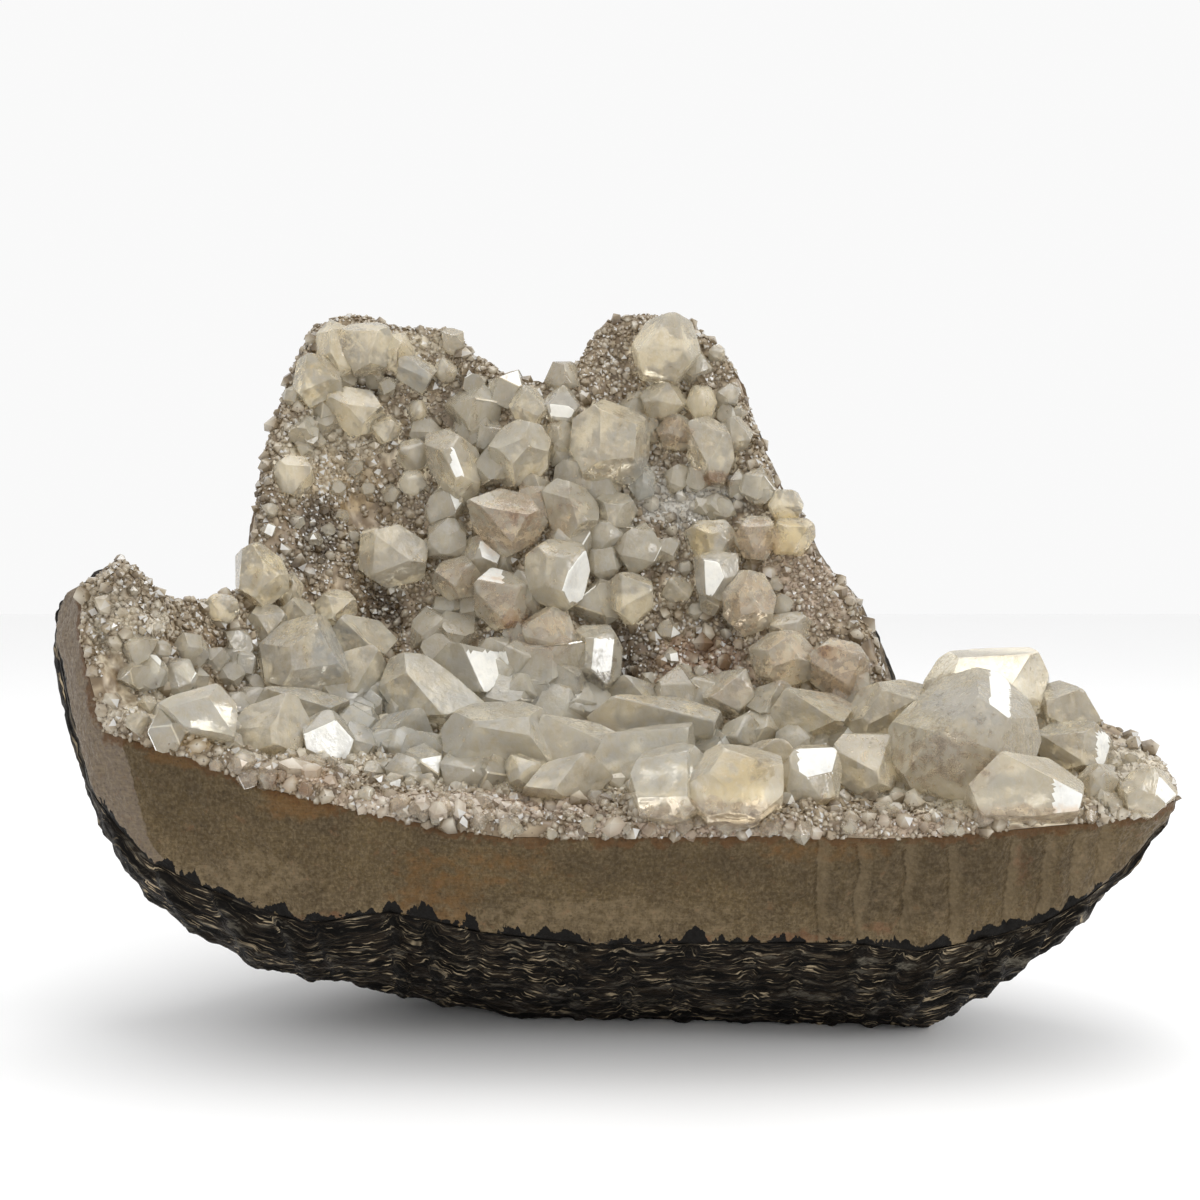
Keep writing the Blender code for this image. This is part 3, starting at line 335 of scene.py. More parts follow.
class Skin:
    """A triangle mesh held as arrays, with the values that its points and faces carry."""

    def __init__(self, points: np.ndarray, faces: np.ndarray) -> None:
        """Takes the arrays.

        Args:
            points: One row of x, y and z for each point.
            faces: Three point numbers for each triangle.
        """
        self.points = points
        self.faces = faces
        self.on_points: dict[str, np.ndarray] = {}
        self.on_faces: dict[str, np.ndarray] = {}

    @classmethod
    def of_mesh(cls, mesh: bpy.types.Mesh) -> "Skin":
        """The triangles of a mesh, with points in one place made one."""
        points = np.empty(len(mesh.vertices) * 3)
        mesh.vertices.foreach_get("co", points)
        points = points.reshape(-1, 3)
        mesh.calc_loop_triangles()
        faces = np.empty(len(mesh.loop_triangles) * 3, np.int32)
        mesh.loop_triangles.foreach_get("vertices", faces)
        _, first, index = np.unique(np.round(points / WELD), axis=0, return_index=True, return_inverse=True)
        faces = index.reshape(-1)[faces].reshape(-1, 3)
        whole = (faces[:, 0] != faces[:, 1]) & (faces[:, 1] != faces[:, 2]) & (faces[:, 0] != faces[:, 2])
        return cls(points[first], faces[whole])

    @classmethod
    def of_node(cls, name: str) -> "Skin":
        """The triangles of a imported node."""
        return cls.of_mesh(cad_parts[name].data)

    def tree(self) -> BVHTree:
        """A search tree over the triangles."""
        return BVHTree.FromPolygons(self.points.tolist(), self.faces.tolist())

    def edges(self) -> tuple[np.ndarray, np.ndarray]:
        """The edges' two ends, and the three edges of each face."""
        ends = self.faces[:, [0, 1, 1, 2, 2, 0]].reshape(-1, 2)
        key = np.sort(ends, axis=1) @ np.array((len(self.points), 1))
        found, index = np.unique(key, return_inverse=True)
        ends = np.stack([found // len(self.points), found % len(self.points)], axis=1)
        return ends, index.reshape(-1, 3)

    def refined(self, longest: float, wanted: np.ndarray | None = None) -> "Skin":
        """Halves the long edges of faces until none is over a limit.

        Args:
            longest: The limit.
            wanted: Which faces are refined; all, if it isn't given.

        Returns:
            The finer mesh, with a face value "shown" for the wanted faces.
        """
        skin = Skin(self.points, self.faces)
        skin.on_points = dict(self.on_points)
        skin.on_faces = dict(self.on_faces)
        skin.on_faces["shown"] = np.ones(len(self.faces), bool) if wanted is None else wanted
        while True:
            ends, of_face = skin.edges()
            long = np.linalg.norm(skin.points[ends[:, 0]] - skin.points[ends[:, 1]], axis=1) > longest
            used = np.zeros(len(ends), bool)
            used[of_face[skin.on_faces["shown"]].ravel()] = True
            split = long & used
            if not split.any():
                return skin
            skin = skin.halved(ends, of_face, split)

    def halved(self, ends: np.ndarray, of_face: np.ndarray, split: np.ndarray) -> "Skin":
        """The mesh with some edges halved.

        Args:
            ends: The edges' ends, as edges() gives them.
            of_face: The edges of each face.
            split: Which edges are halved.

        Returns:
            The new mesh.
        """
        middle = np.full(len(ends), -1)
        middle[split] = len(self.points) + np.arange(split.sum())
        first, last = ends[split].T
        marks = middle[of_face]
        marked = marks >= 0
        count = marked.sum(axis=1)
        turn = np.zeros(len(count), int)
        turn[count == 1] = marked[count == 1].argmax(axis=1)
        turn[count == 2] = ((~marked[count == 2]).argmax(axis=1) + 1) % 3
        order = (turn[:, None] + np.arange(3)) % 3
        a, b, c = np.take_along_axis(self.faces, order, axis=1).T
        m, n, o = np.take_along_axis(marks, order, axis=1).T
        parts = []
        for number, corners in (
            (0, ((a, b, c),)),
            (1, ((a, m, c), (m, b, c))),
            (2, ((m, b, n), (a, m, n), (a, n, c))),
            (3, ((a, m, o), (m, b, n), (o, n, c), (m, n, o))),
        ):
            chosen = np.flatnonzero(count == number)
            parts += [(chosen, np.stack([x[chosen] for x in corner], axis=1)) for corner in corners]
        source = np.concatenate([chosen for chosen, _ in parts])
        new = Skin(
            np.concatenate([self.points, (self.points[first] + self.points[last]) / 2]),
            np.concatenate([faces for _, faces in parts]),
        )
        for name, value in self.on_points.items():
            new.on_points[name] = np.concatenate([value, (value[first] + value[last]) / 2])
        for name, value in self.on_faces.items():
            new.on_faces[name] = value[source]
        return new

    def smooth(self, rounds: int, held: np.ndarray, share: float = 0.5) -> None:
        """Evens out the points towards their neighbours.

        Args:
            rounds: How many times.
            held: Which points stay.
            share: How far a point goes each time.
        """
        ends, _ = self.edges()
        count = len(self.points)
        degree = np.bincount(ends.ravel(), minlength=count)[:, None]
        free = ~held
        for _ in range(rounds):
            total = np.stack([
                np.bincount(ends[:, 0], self.points[ends[:, 1], axis], count)
                + np.bincount(ends[:, 1], self.points[ends[:, 0], axis], count)
                for axis in range(3)
            ], axis=1)
            mean = total / np.maximum(degree, 1)
            self.points = np.where(free[:, None], self.points + share * (mean - self.points), self.points)

    def face_normals(self) -> np.ndarray:
        """Each face's normal, as long as twice its area."""
        a, b, c = (self.points[self.faces[:, k]] for k in range(3))
        return np.cross(b - a, c - a)

    def normals(self) -> np.ndarray:
        """Each point's unit normal."""
        across = self.face_normals()
        total = np.stack([
            sum(np.bincount(self.faces[:, k], across[:, axis], len(self.points)) for k in range(3))
            for axis in range(3)
        ], axis=1)
        return total / np.maximum(np.linalg.norm(total, axis=1, keepdims=True), 1e-12)

    def without(self, faces: np.ndarray) -> "Skin":
        """The mesh without some faces and the points that only they use."""
        kept = self.faces[~faces]
        used, index = np.unique(kept, return_inverse=True)
        new = Skin(self.points[used], index.reshape(-1, 3))
        new.on_points = {name: value[used] for name, value in self.on_points.items()}
        new.on_faces = {name: value[~faces] for name, value in self.on_faces.items()}
        return new

    def thing(
        self,
        name: str,
        finish: bpy.types.Material,
        smooth_angle: float | None,
        bright: bpy.types.Material | None = None,
    ) -> bpy.types.Object:
        """The mesh as an object in the scene.

        Args:
            name: The piece's name.
            finish: Its material.
            smooth_angle: Up to which angle edges are drawn round, in degrees; None draws all flat.
            bright: The material of the faces painted bright as reflections, whose painted glint value is
                over a half.

        Returns:
            The new object.
        """
        mesh = bpy.data.meshes.new(name)
        mesh.vertices.add(len(self.points))
        mesh.vertices.foreach_set("co", self.points.astype(np.float32).ravel())
        mesh.loops.add(self.faces.size)
        mesh.loops.foreach_set("vertex_index", self.faces.astype(np.int32).ravel())
        mesh.polygons.add(len(self.faces))
        mesh.polygons.foreach_set("loop_start", np.arange(0, self.faces.size, 3, dtype=np.int32))
        mesh.update(calc_edges=True)
        if smooth_angle is None:
            mesh.shade_flat()
        else:
            mesh.shade_smooth()
            if smooth_angle < 180:
                mesh.set_sharp_from_angle(angle=math.radians(smooth_angle))
        for domain, values in (("POINT", self.on_points), ("FACE", self.on_faces)):
            for label, value in values.items():
                if label != "shown":
                    layer = mesh.attributes.new(label, "FLOAT", domain)
                    layer.data.foreach_set("value", value.astype(np.float32))
        mesh.materials.append(finish)
        if bright is not None:
            mesh.materials.append(bright)
            mesh.polygons.foreach_set("material_index", (self.on_faces["flash"] > 0.5).astype(np.int32))
        thing = bpy.data.objects.new(name, mesh)
        bpy.context.scene.collection.objects.link(thing)
        return thing


def distances(tree: BVHTree, points: np.ndarray, most: float = 0.05) -> np.ndarray:
    """How far each point is from a mesh.

    Args:
        tree: The mesh's search tree.
        points: The points.
        most: What a point further off gets.

    Returns:
        One distance for each point.
    """
    found = [tree.find_nearest(point, most)[3] for point in points.tolist()]
    return np.array([most if value is None else value for value in found])


class Wiring:
    """Adds and joins the nodes of one node tree, with short calls."""

    def __init__(self, tree: bpy.types.NodeTree) -> None:
        """Takes the tree."""
        self.tree = tree

    def add(self, kind: str, **settings: object) -> bpy.types.Node:
        """A new node of a kind, with some of its settings."""
        node = self.tree.nodes.new(kind)
        for name, value in settings.items():
            setattr(node, name, value)
        return node

    def feed(self, socket: Socket, value: object) -> None:
        """Sets an input to a value, or joins an output to it."""
        if isinstance(value, bpy.types.NodeSocket):
            self.tree.links.new(value, socket)
        else:
            socket.default_value = value

    def math(self, operation: str, *values: object, clamp: bool = False) -> Socket:
        """A sum or other operation on up to three values."""
        node = self.add("ShaderNodeMath", operation=operation, use_clamp=clamp)
        for socket, value in zip(node.inputs, values):
            self.feed(socket, value)
        return node.outputs[0]

    def ease(self, value: object, low: float, high: float, to: tuple[float, float] = (0.0, 1.0)) -> Socket:
        """A smooth step from one value to another as the input goes from low to high."""
        node = self.add("ShaderNodeMapRange", interpolation_type="SMOOTHSTEP")
        for socket, number in zip(node.inputs, (value, low, high, *to)):
            self.feed(socket, number)
        return node.outputs[0]

    def paint(self, share: object, under: object, over: object) -> Socket:
        """One colour laid over another."""
        node = self.add("ShaderNodeMix", data_type="RGBA")
        for place, value in ((0, share), (6, under), (7, over)):
            self.feed(node.inputs[place], value)
        return node.outputs[2]

    def glaze(self, mask: object, most: float, under: object, over: object) -> Socket:
        """One colour laid over another where a mask is, up to a share of it."""
        return self.paint(self.math("MULTIPLY", mask, most), under, over)

    def noise(
        self, place: Socket, size_mm: float, detail: float = 3, rough: float = 0.55, warp: float = 0
    ) -> Socket:
        """Noise with lumps of a size, from 0 to 1."""
        node = self.add("ShaderNodeTexNoise")
        self.feed(node.inputs["Vector"], place)
        self.feed(node.inputs["Scale"], 1 / size_mm)
        self.feed(node.inputs["Detail"], detail)
        self.feed(node.inputs["Roughness"], rough)
        self.feed(node.inputs["Distortion"], warp)
        return node.outputs["Fac"]

    def stretched(self, place: Socket, stretch: tuple[float, float, float]) -> Socket:
        """The place with each axis multiplied by a number."""
        node = self.add("ShaderNodeVectorMath", operation="MULTIPLY")
        self.feed(node.inputs[0], place)
        self.feed(node.inputs[1], stretch)
        return node.outputs[0]

    def value_of(self, name: str) -> Socket:
        """A value that the mesh carries."""
        return self.add("ShaderNodeAttribute", attribute_name=name).outputs["Fac"]

    def place_mm(self) -> Socket:
        """The place on the specimen, in millimetres."""
        node = self.add("ShaderNodeVectorMath", operation="SCALE")
        self.feed(node.inputs[0], self.add("ShaderNodeTexCoord").outputs["Object"])
        self.feed(node.inputs["Scale"], 1 / MM)
        return node.outputs[0]

    def effect(self, group: bpy.types.NodeTree, **values: object) -> Socket:
        """The first output of a shared effect with these inputs."""
        node = self.add("ShaderNodeGroup", node_tree=group)
        for name, value in values.items():
            self.feed(node.inputs[name.replace("_", " ")], value)
        return node.outputs[0]

    def raised(self, height: Socket, distance_mm: float, strength: float = 1.0) -> Socket:
        """A normal that shows a height as relief."""
        node = self.add("ShaderNodeBump")
        self.feed(node.inputs["Height"], height)
        self.feed(node.inputs["Distance"], distance_mm * MM)
        self.feed(node.inputs["Strength"], strength)
        return node.outputs[0]


class Effects:
    """The node groups that several finishes share, each built once."""

    def __init__(self) -> None:
        """Builds the groups."""
        self.mottle = self._mottle()
        self.specks = self._specks()
        self.grit = self._grit()
        self.stain = self._stain()

    def stained(
        self,
        w: Wiring,
        colour: Socket,
        cloud: Socket,
        broken: float,
        stains: Iterable[tuple[str, Colour, float]],
    ) -> Socket:
        """A colour with stains laid over it, each where the mesh carries it.

        Args:
            w: The material's wiring.
            colour: The colour under the stains.
            cloud: What breaks them up.
            broken: How much it does.
            stains: Each stain's value on the mesh, its colour and the most that it covers.

        Returns:
            The stained colour.
        """
        for label, over, most in stains:
            mask = w.effect(self.stain, Amount=w.value_of(label), Cloud=cloud, Break=broken)
            colour = w.glaze(mask, most, colour, over)
        return colour

    @staticmethod
    def _group(
        name: str, inputs: dict[str, object], output: str
    ) -> tuple[Wiring, dict[str, Socket], Socket]:
        """An empty group.

        Args:
            name: What the group is called.
            inputs: Each input's name and default; None stands for a vector.
            output: The output's name.

        Returns:
            Its wiring, the inputs by name, and the socket that its result goes to.
        """
        tree = bpy.data.node_groups.new(name, "ShaderNodeTree")
        for label, default in inputs.items():
            kind = "NodeSocketVector" if default is None else "NodeSocketFloat"
            socket = tree.interface.new_socket(label, in_out="INPUT", socket_type=kind)
            if default is not None:
                socket.default_value = default
        tree.interface.new_socket(output, in_out="OUTPUT", socket_type="NodeSocketFloat")
        wiring = Wiring(tree)
        source = wiring.add("NodeGroupInput")
        result = wiring.add("NodeGroupOutput")
        return wiring, {label: source.outputs[label] for label in inputs}, result.inputs[output]

    def _mottle(self) -> bpy.types.NodeTree:
        """Cloudy patches of a size in millimetres, from 0 to 1."""
        w, given, result = self._group("mottle", {"Place": None, "Size": 5.0, "Contrast": 2.0}, "Mask")
        node = w.add("ShaderNodeTexNoise")
        w.feed(node.inputs["Vector"], given["Place"])
        w.feed(node.inputs["Scale"], w.math("DIVIDE", 1.0, given["Size"]))
        w.feed(node.inputs["Detail"], 3.0)
        w.feed(node.inputs["Roughness"], 0.6)
        w.feed(node.inputs["Distortion"], 0.4)
        centred = w.math("SUBTRACT", node.outputs["Fac"], 0.5)
        w.feed(result, w.math("MULTIPLY_ADD", centred, given["Contrast"], 0.5, clamp=True))
        return w.tree

    def _specks(self) -> bpy.types.NodeTree:
        """Small scattered spots of a size in millimetres, over a share of the surface."""
        w, given, result = self._group("specks", {"Place": None, "Size": 0.8, "Share": 0.3}, "Mask")
        cells = w.add("ShaderNodeTexVoronoi")
        w.feed(cells.inputs["Vector"], given["Place"])
        w.feed(cells.inputs["Scale"], w.math("DIVIDE", 1.0, given["Size"]))
        pick = w.add("ShaderNodeSeparateColor")
        w.feed(pick.inputs[0], cells.outputs["Color"])
        chosen = w.math("LESS_THAN", pick.outputs[0], given["Share"])
        near = w.ease(cells.outputs["Distance"], 0.42, 0.16)
        w.feed(result, w.math("MULTIPLY", chosen, near))
        return w.tree

    def _grit(self) -> bpy.types.NodeTree:
        """A rough surface's height from two scales in millimetres."""
        inputs = {"Place": None, "Coarse": 2.0, "Fine": 0.5, "Sharp": 0.5}
        w, given, result = self._group("grit", inputs, "Height")
        heights = []
        for label, detail in (("Coarse", 3.0), ("Fine", 2.0)):
            node = w.add("ShaderNodeTexNoise")
            w.feed(node.inputs["Vector"], given["Place"])
            w.feed(node.inputs["Scale"], w.math("DIVIDE", 1.0, given[label]))
            w.feed(node.inputs["Detail"], detail)
            heights.append(node.outputs["Fac"])
        cells = w.add("ShaderNodeTexVoronoi")
        w.feed(cells.inputs["Vector"], given["Place"])
        w.feed(cells.inputs["Scale"], w.math("DIVIDE", 1.0, given["Coarse"]))
        chips = w.math("MULTIPLY", cells.outputs["Distance"], given["Sharp"])
        total = w.math("MULTIPLY_ADD", heights[1], 0.35, heights[0])
        w.feed(result, w.math("ADD", total, chips))
        return w.tree

    def _stain(self) -> bpy.types.NodeTree:
        """How much of a stain shows: an amount that the mesh carries, broken up by a cloud value."""
        w, given, result = self._group("stain", {"Amount": 0.0, "Cloud": 0.5, "Break": 0.6}, "Mask")
        lift = w.math("MULTIPLY", w.math("SUBTRACT", given["Cloud"], 0.5), given["Break"])
        w.feed(result, w.ease(w.math("ADD", given["Amount"], lift), 0.15, 0.85))
        return w.tree


def srgb(red: int, green: int, blue: int) -> Colour:
    """A colour from its screen values, 0 to 255, as the shaders take it."""
    def linear(value: int) -> float:
        """One channel without the screen's curve."""
        share = value / 255
        return share / 12.92 if share <= 0.04045 else ((share + 0.055) / 1.055) ** 2.4
    return (linear(red), linear(green), linear(blue), 1.0)


def new_finish(name: str) -> tuple[bpy.types.Material, Wiring, bpy.types.Node]:
    """A material, the wiring of its tree, and its shader."""
    finish = bpy.data.materials.new(name)
    finish.use_nodes = True
    return finish, Wiring(finish.node_tree), finish.node_tree.nodes["Principled BSDF"]


@dataclass(frozen=True)
class RindFinish:
    """Near-black stone with thin broken cream and brown streaks that arch over its ribs."""

    black: Colour = srgb(9, 7, 5)
    brown: Colour = srgb(38, 30, 21)
    grey: Colour = srgb(98, 93, 82)
    cream: Colour = srgb(186, 168, 138)
    arch_mm: float = 5.0
    thin_layers_mm: tuple[float, float] = (0.52, 8.0)
    thick_layers_mm: tuple[float, float] = (1.7, 16.0)

    def material(self, effects: Effects) -> bpy.types.Material:
        """Builds the material."""
        finish, w, shader = new_finish("rind")
        place = w.place_mm()
        level = w.math("MULTIPLY_ADD", w.value_of("rib"), self.arch_mm, w.value_of("depth_mm"))
        level = w.math("MULTIPLY_ADD", w.noise(place, 11.0, 1, 0.5), 2.6, level)
        level = w.math("MULTIPLY_ADD", w.noise(place, 3.2, 1, 0.5), 0.6, level)
        sides = w.add("ShaderNodeSeparateXYZ")
        w.feed(sides.inputs[0], place)
        lines = self.layers(w, sides, level, *self.thin_layers_mm)
        broad = self.layers(w, sides, level, *self.thick_layers_mm)
        body = w.paint(w.ease(broad, 0.42, 0.62), self.black, self.brown)
        body = w.glaze(w.value_of("rib"), 0.8, body, self.black)
        upright = w.stretched(place, (0.45, 0.45, 1.5))
        chips = w.effect(effects.mottle, Place=upright, Size=2.4, Contrast=7.0)
        chips = w.math("MULTIPLY", chips, w.ease(broad, 0.56, 0.66))
        body = w.glaze(chips, 0.6, body, self.grey)
        where = w.effect(effects.mottle, Place=place, Size=11.0, Contrast=3.5)
        where = w.ease(where, 0.2, 0.8, (0.15, 1.0))
        where = w.math("MULTIPLY", where, w.ease(w.value_of("rib"), 0.25, 0.8, (1.0, 0.35)))
        where = w.math("MULTIPLY", where, w.ease(w.value_of("broken"), 0.0, 0.5, (0.3, 1.0)))
        streak = w.math("MULTIPLY", w.ease(lines, 0.58, 0.66), where)
        colour = w.glaze(streak, 0.85, body, self.cream)
        cloud = w.noise(w.stretched(place, (1.0, 1.0, 2.5)), 2.0, 2)
        pale = w.effect(effects.stain, Amount=w.value_of("pale"), Cloud=cloud, Break=1.6)
        colour = w.paint(pale, colour, self.grey)
        w.feed(shader.inputs["Base Color"], colour)
        w.feed(shader.inputs["Roughness"], w.ease(broad, 0.3, 0.7, (0.75, 0.45)))
        w.feed(shader.inputs["Specular IOR Level"], 0.1)
        grit = w.effect(effects.grit, Place=place, Coarse=1.6, Fine=0.5, Sharp=0.5)
        height = w.math("MULTIPLY_ADD", lines, 1.2, w.math("ADD", broad, grit))
        w.feed(shader.inputs["Normal"], w.raised(height, 0.8, 0.8))
        return finish

    @staticmethod
    def layers(
        w: Wiring, sides: bpy.types.Node, level: Socket, thick_mm: float, length_mm: float
    ) -> Socket:
        """Noise drawn out along the layers: thin across them and long along them."""
        joined = w.add("ShaderNodeCombineXYZ")
        for axis in (0, 1):
            w.feed(joined.inputs[axis], w.math("DIVIDE", sides.outputs[axis], length_mm))
        w.feed(joined.inputs[2], w.math("DIVIDE", level, thick_mm))
        return w.noise(joined.outputs[0], 1.0, 2, 0.5)


@dataclass(frozen=True)
class MassiveQuartzFinish:
    """Broken grey-brown quartz, speckled and mottled, with dark fingers of the rind along its contact."""

    deep: Colour = srgb(64, 52, 35)
    olive: Colour = srgb(98, 82, 54)
    pale: Colour = srgb(138, 121, 94)
    face: Colour = srgb(112, 100, 88)
    ochre: Colour = srgb(112, 80, 42)
    rust: Colour = srgb(116, 76, 52)
    brown: Colour = srgb(92, 62, 34)
    dark: Colour = srgb(30, 24, 16)
    rind: Colour = srgb(13, 10, 7)

    def material(self, effects: Effects) -> bpy.types.Material:
        """Builds the material."""
        finish, w, shader = new_finish("massive_quartz")
        place = w.place_mm()
        upright = w.stretched(place, (1.0, 1.0, 0.2))
        clouds = w.effect(effects.mottle, Place=place, Size=16.0, Contrast=2.4)
        colour = w.paint(clouds, self.deep, self.olive)
        streaks = w.effect(effects.mottle, Place=upright, Size=3.0, Contrast=3.5)
        colour = w.glaze(streaks, 0.30, colour, self.olive)
        to_rind = w.value_of("to_rind_mm")
        lower = w.math("MULTIPLY", w.ease(to_rind, 16.0, 2.0), streaks)
        colour = w.glaze(lower, 0.45, colour, self.pale)
        fine = w.effect(effects.mottle, Place=place, Size=1.3, Contrast=4.0)
        colour = w.glaze(fine, 0.36, colour, self.pale)
        grainy = w.effect(effects.mottle, Place=w.stretched(place, (1.0, 1.0, 0.6)), Size=0.8, Contrast=6.0)
        colour = w.glaze(grainy, 0.45, colour, self.deep)
        border = w.math("MULTIPLY_ADD", w.noise(place, 2.5, 3, 0.6), 0.3, w.value_of("face"))
        face = w.ease(border, 0.12, 0.2)
        colour = w.paint(face, colour, w.glaze(fine, 0.5, self.face, self.pale))
        cloud = w.noise(place, 3.5, 3)
        colour = effects.stained(w, colour, cloud, 1.4, (("pale", self.pale, 0.7),))
        colour = effects.stained(w, colour, cloud, 1.6, (("sand", self.ochre, 0.6),))
        ragged = w.effect(effects.mottle, Place=place, Size=3.0, Contrast=5.0)
        seam = w.math("MULTIPLY", w.ease(to_rind, 3.2, 0.8), ragged)
        colour = w.glaze(seam, 0.55, colour, self.pale)
        colour = effects.stained(w, colour, cloud, 2.0, (("rust", self.rust, 0.5),))
        below_rim = w.math("MULTIPLY_ADD", w.noise(place, 5.0, 4, 0.65), 14.0, -4.6)
        below_rim = w.ease(w.math("SUBTRACT", below_rim, w.value_of("to_crust_mm")), -0.5, 1.5)
        colour = w.glaze(below_rim, 0.7, colour, self.brown)
        specks = w.effect(effects.specks, Place=place, Size=1.3, Share=0.26)
        tiny = w.effect(effects.specks, Place=place, Size=0.6, Share=0.3)
        colour = w.glaze(w.math("MAXIMUM", specks, tiny), 0.35, colour, self.dark)
        flat = w.stretched(place, (0.25, 0.25, 1.6))
        scratches = w.effect(effects.mottle, Place=flat, Size=1.1, Contrast=5.0)
        colour = w.glaze(scratches, 0.22, colour, self.deep)
        colour = w.glaze(w.value_of("shade"), 0.75, colour, self.dark)
        # Painted shade in the grooves between columns, and painted light on the lit side of each.
        colour = w.glaze(w.value_of("groove"), 0.1, colour, self.dark)
        colour = w.glaze(w.value_of("painted_flute_light"), 0.45, colour, self.pale)
        fingers = w.noise(w.stretched(place, (1.0, 1.0, 0.14)), 3.6, 3, 0.6)
        fingers = w.math("MULTIPLY_ADD", fingers, 15.0, -7.4)
        fingers = w.math("MULTIPLY_ADD", w.noise(place, 1.5, 2, 0.6), 3.0, fingers)
        fingers = w.math("MULTIPLY_ADD", w.value_of("rib"), 6.0, fingers)
        near_rind = w.math("SUBTRACT", fingers, to_rind)
        colour = w.paint(w.ease(near_rind, -0.15, 0.3), colour, self.rind)
        w.feed(shader.inputs["Base Color"], colour)
        w.feed(shader.inputs["Roughness"], w.ease(fine, 0.0, 1.0, (0.65, 0.38)))
        w.feed(shader.inputs["Specular IOR Level"], 0.15)
        height = w.effect(effects.grit, Place=place, Coarse=1.5, Fine=0.4, Sharp=0.6)
        w.feed(shader.inputs["Normal"], w.raised(height, 0.6, 0.7))
        return finish


@dataclass(frozen=True)
class DruseFinish:
    """Small glassy quartz points: darker between them, partly as painted shade, paler tips, painted glints.
    """

    name: str
    between: Colour = srgb(120, 101, 76)
    body: Colour = srgb(202, 185, 157)
    tip: Colour = srgb(250, 242, 224)
    milk: Colour = srgb(244, 234, 210)
    sand: Colour = srgb(198, 172, 130)
    rust: Colour = srgb(150, 116, 90)
    blush: Colour = srgb(204, 182, 162)
    frost: Colour = srgb(222, 220, 212)
    dark: Colour = srgb(80, 64, 45)
    flash: Colour = srgb(255, 254, 250)
    clear: float = 0.42
    roughness: float = 0.08

    def material(self, effects: Effects) -> bpy.types.Material:
        """Builds the material."""
        finish, w, shader = new_finish(self.name)
        place = w.place_mm()
        up = w.value_of("tip")
        luck = w.value_of("luck")
        clouds = w.effect(effects.mottle, Place=place, Size=12.0, Contrast=2.5)
        body = w.glaze(clouds, 0.5, self.body, self.between)
        # Partly painted shade: the points' feet, low on the tip value, take the darker colour between them.
        colour = w.paint(w.ease(up, 0.0, 0.7), self.between, body)
        cloud = w.noise(place, 3.0, 2)
        stains = (
            ("milk", self.milk, 0.9),
            ("sand", self.sand, 0.7),
            ("rust", self.rust, 0.7),
            ("blush", self.blush, 0.7),
            ("frost", self.frost, 0.7),
            ("pale", self.tip, 0.6),
            # The shade value paints shade in the crust's hollows.
            ("shade", self.dark, 0.8),
        )
        colour = effects.stained(w, colour, cloud, 1.0, stains)
        bright = w.math("MULTIPLY", w.ease(up, 0.4, 1.0), w.ease(luck, 0.35, 1.0))
        colour = w.glaze(bright, 0.8, colour, self.tip)
        specks = w.effect(effects.specks, Place=place, Size=1.1, Share=0.14)
        colour = w.glaze(specks, 0.7, colour, self.dark)
        # Painted glints on the faces that mirror the side light.
        colour = w.glaze(w.value_of("flash"), 0.9, colour, self.flash)
        w.feed(shader.inputs["Base Color"], colour)
        w.feed(shader.inputs["Roughness"], w.ease(luck, 0.0, 1.0, (self.roughness * 2.5, self.roughness)))
        w.feed(shader.inputs["Transmission Weight"], self.clear)
        w.feed(shader.inputs["IOR"], 1.54)
        return finish


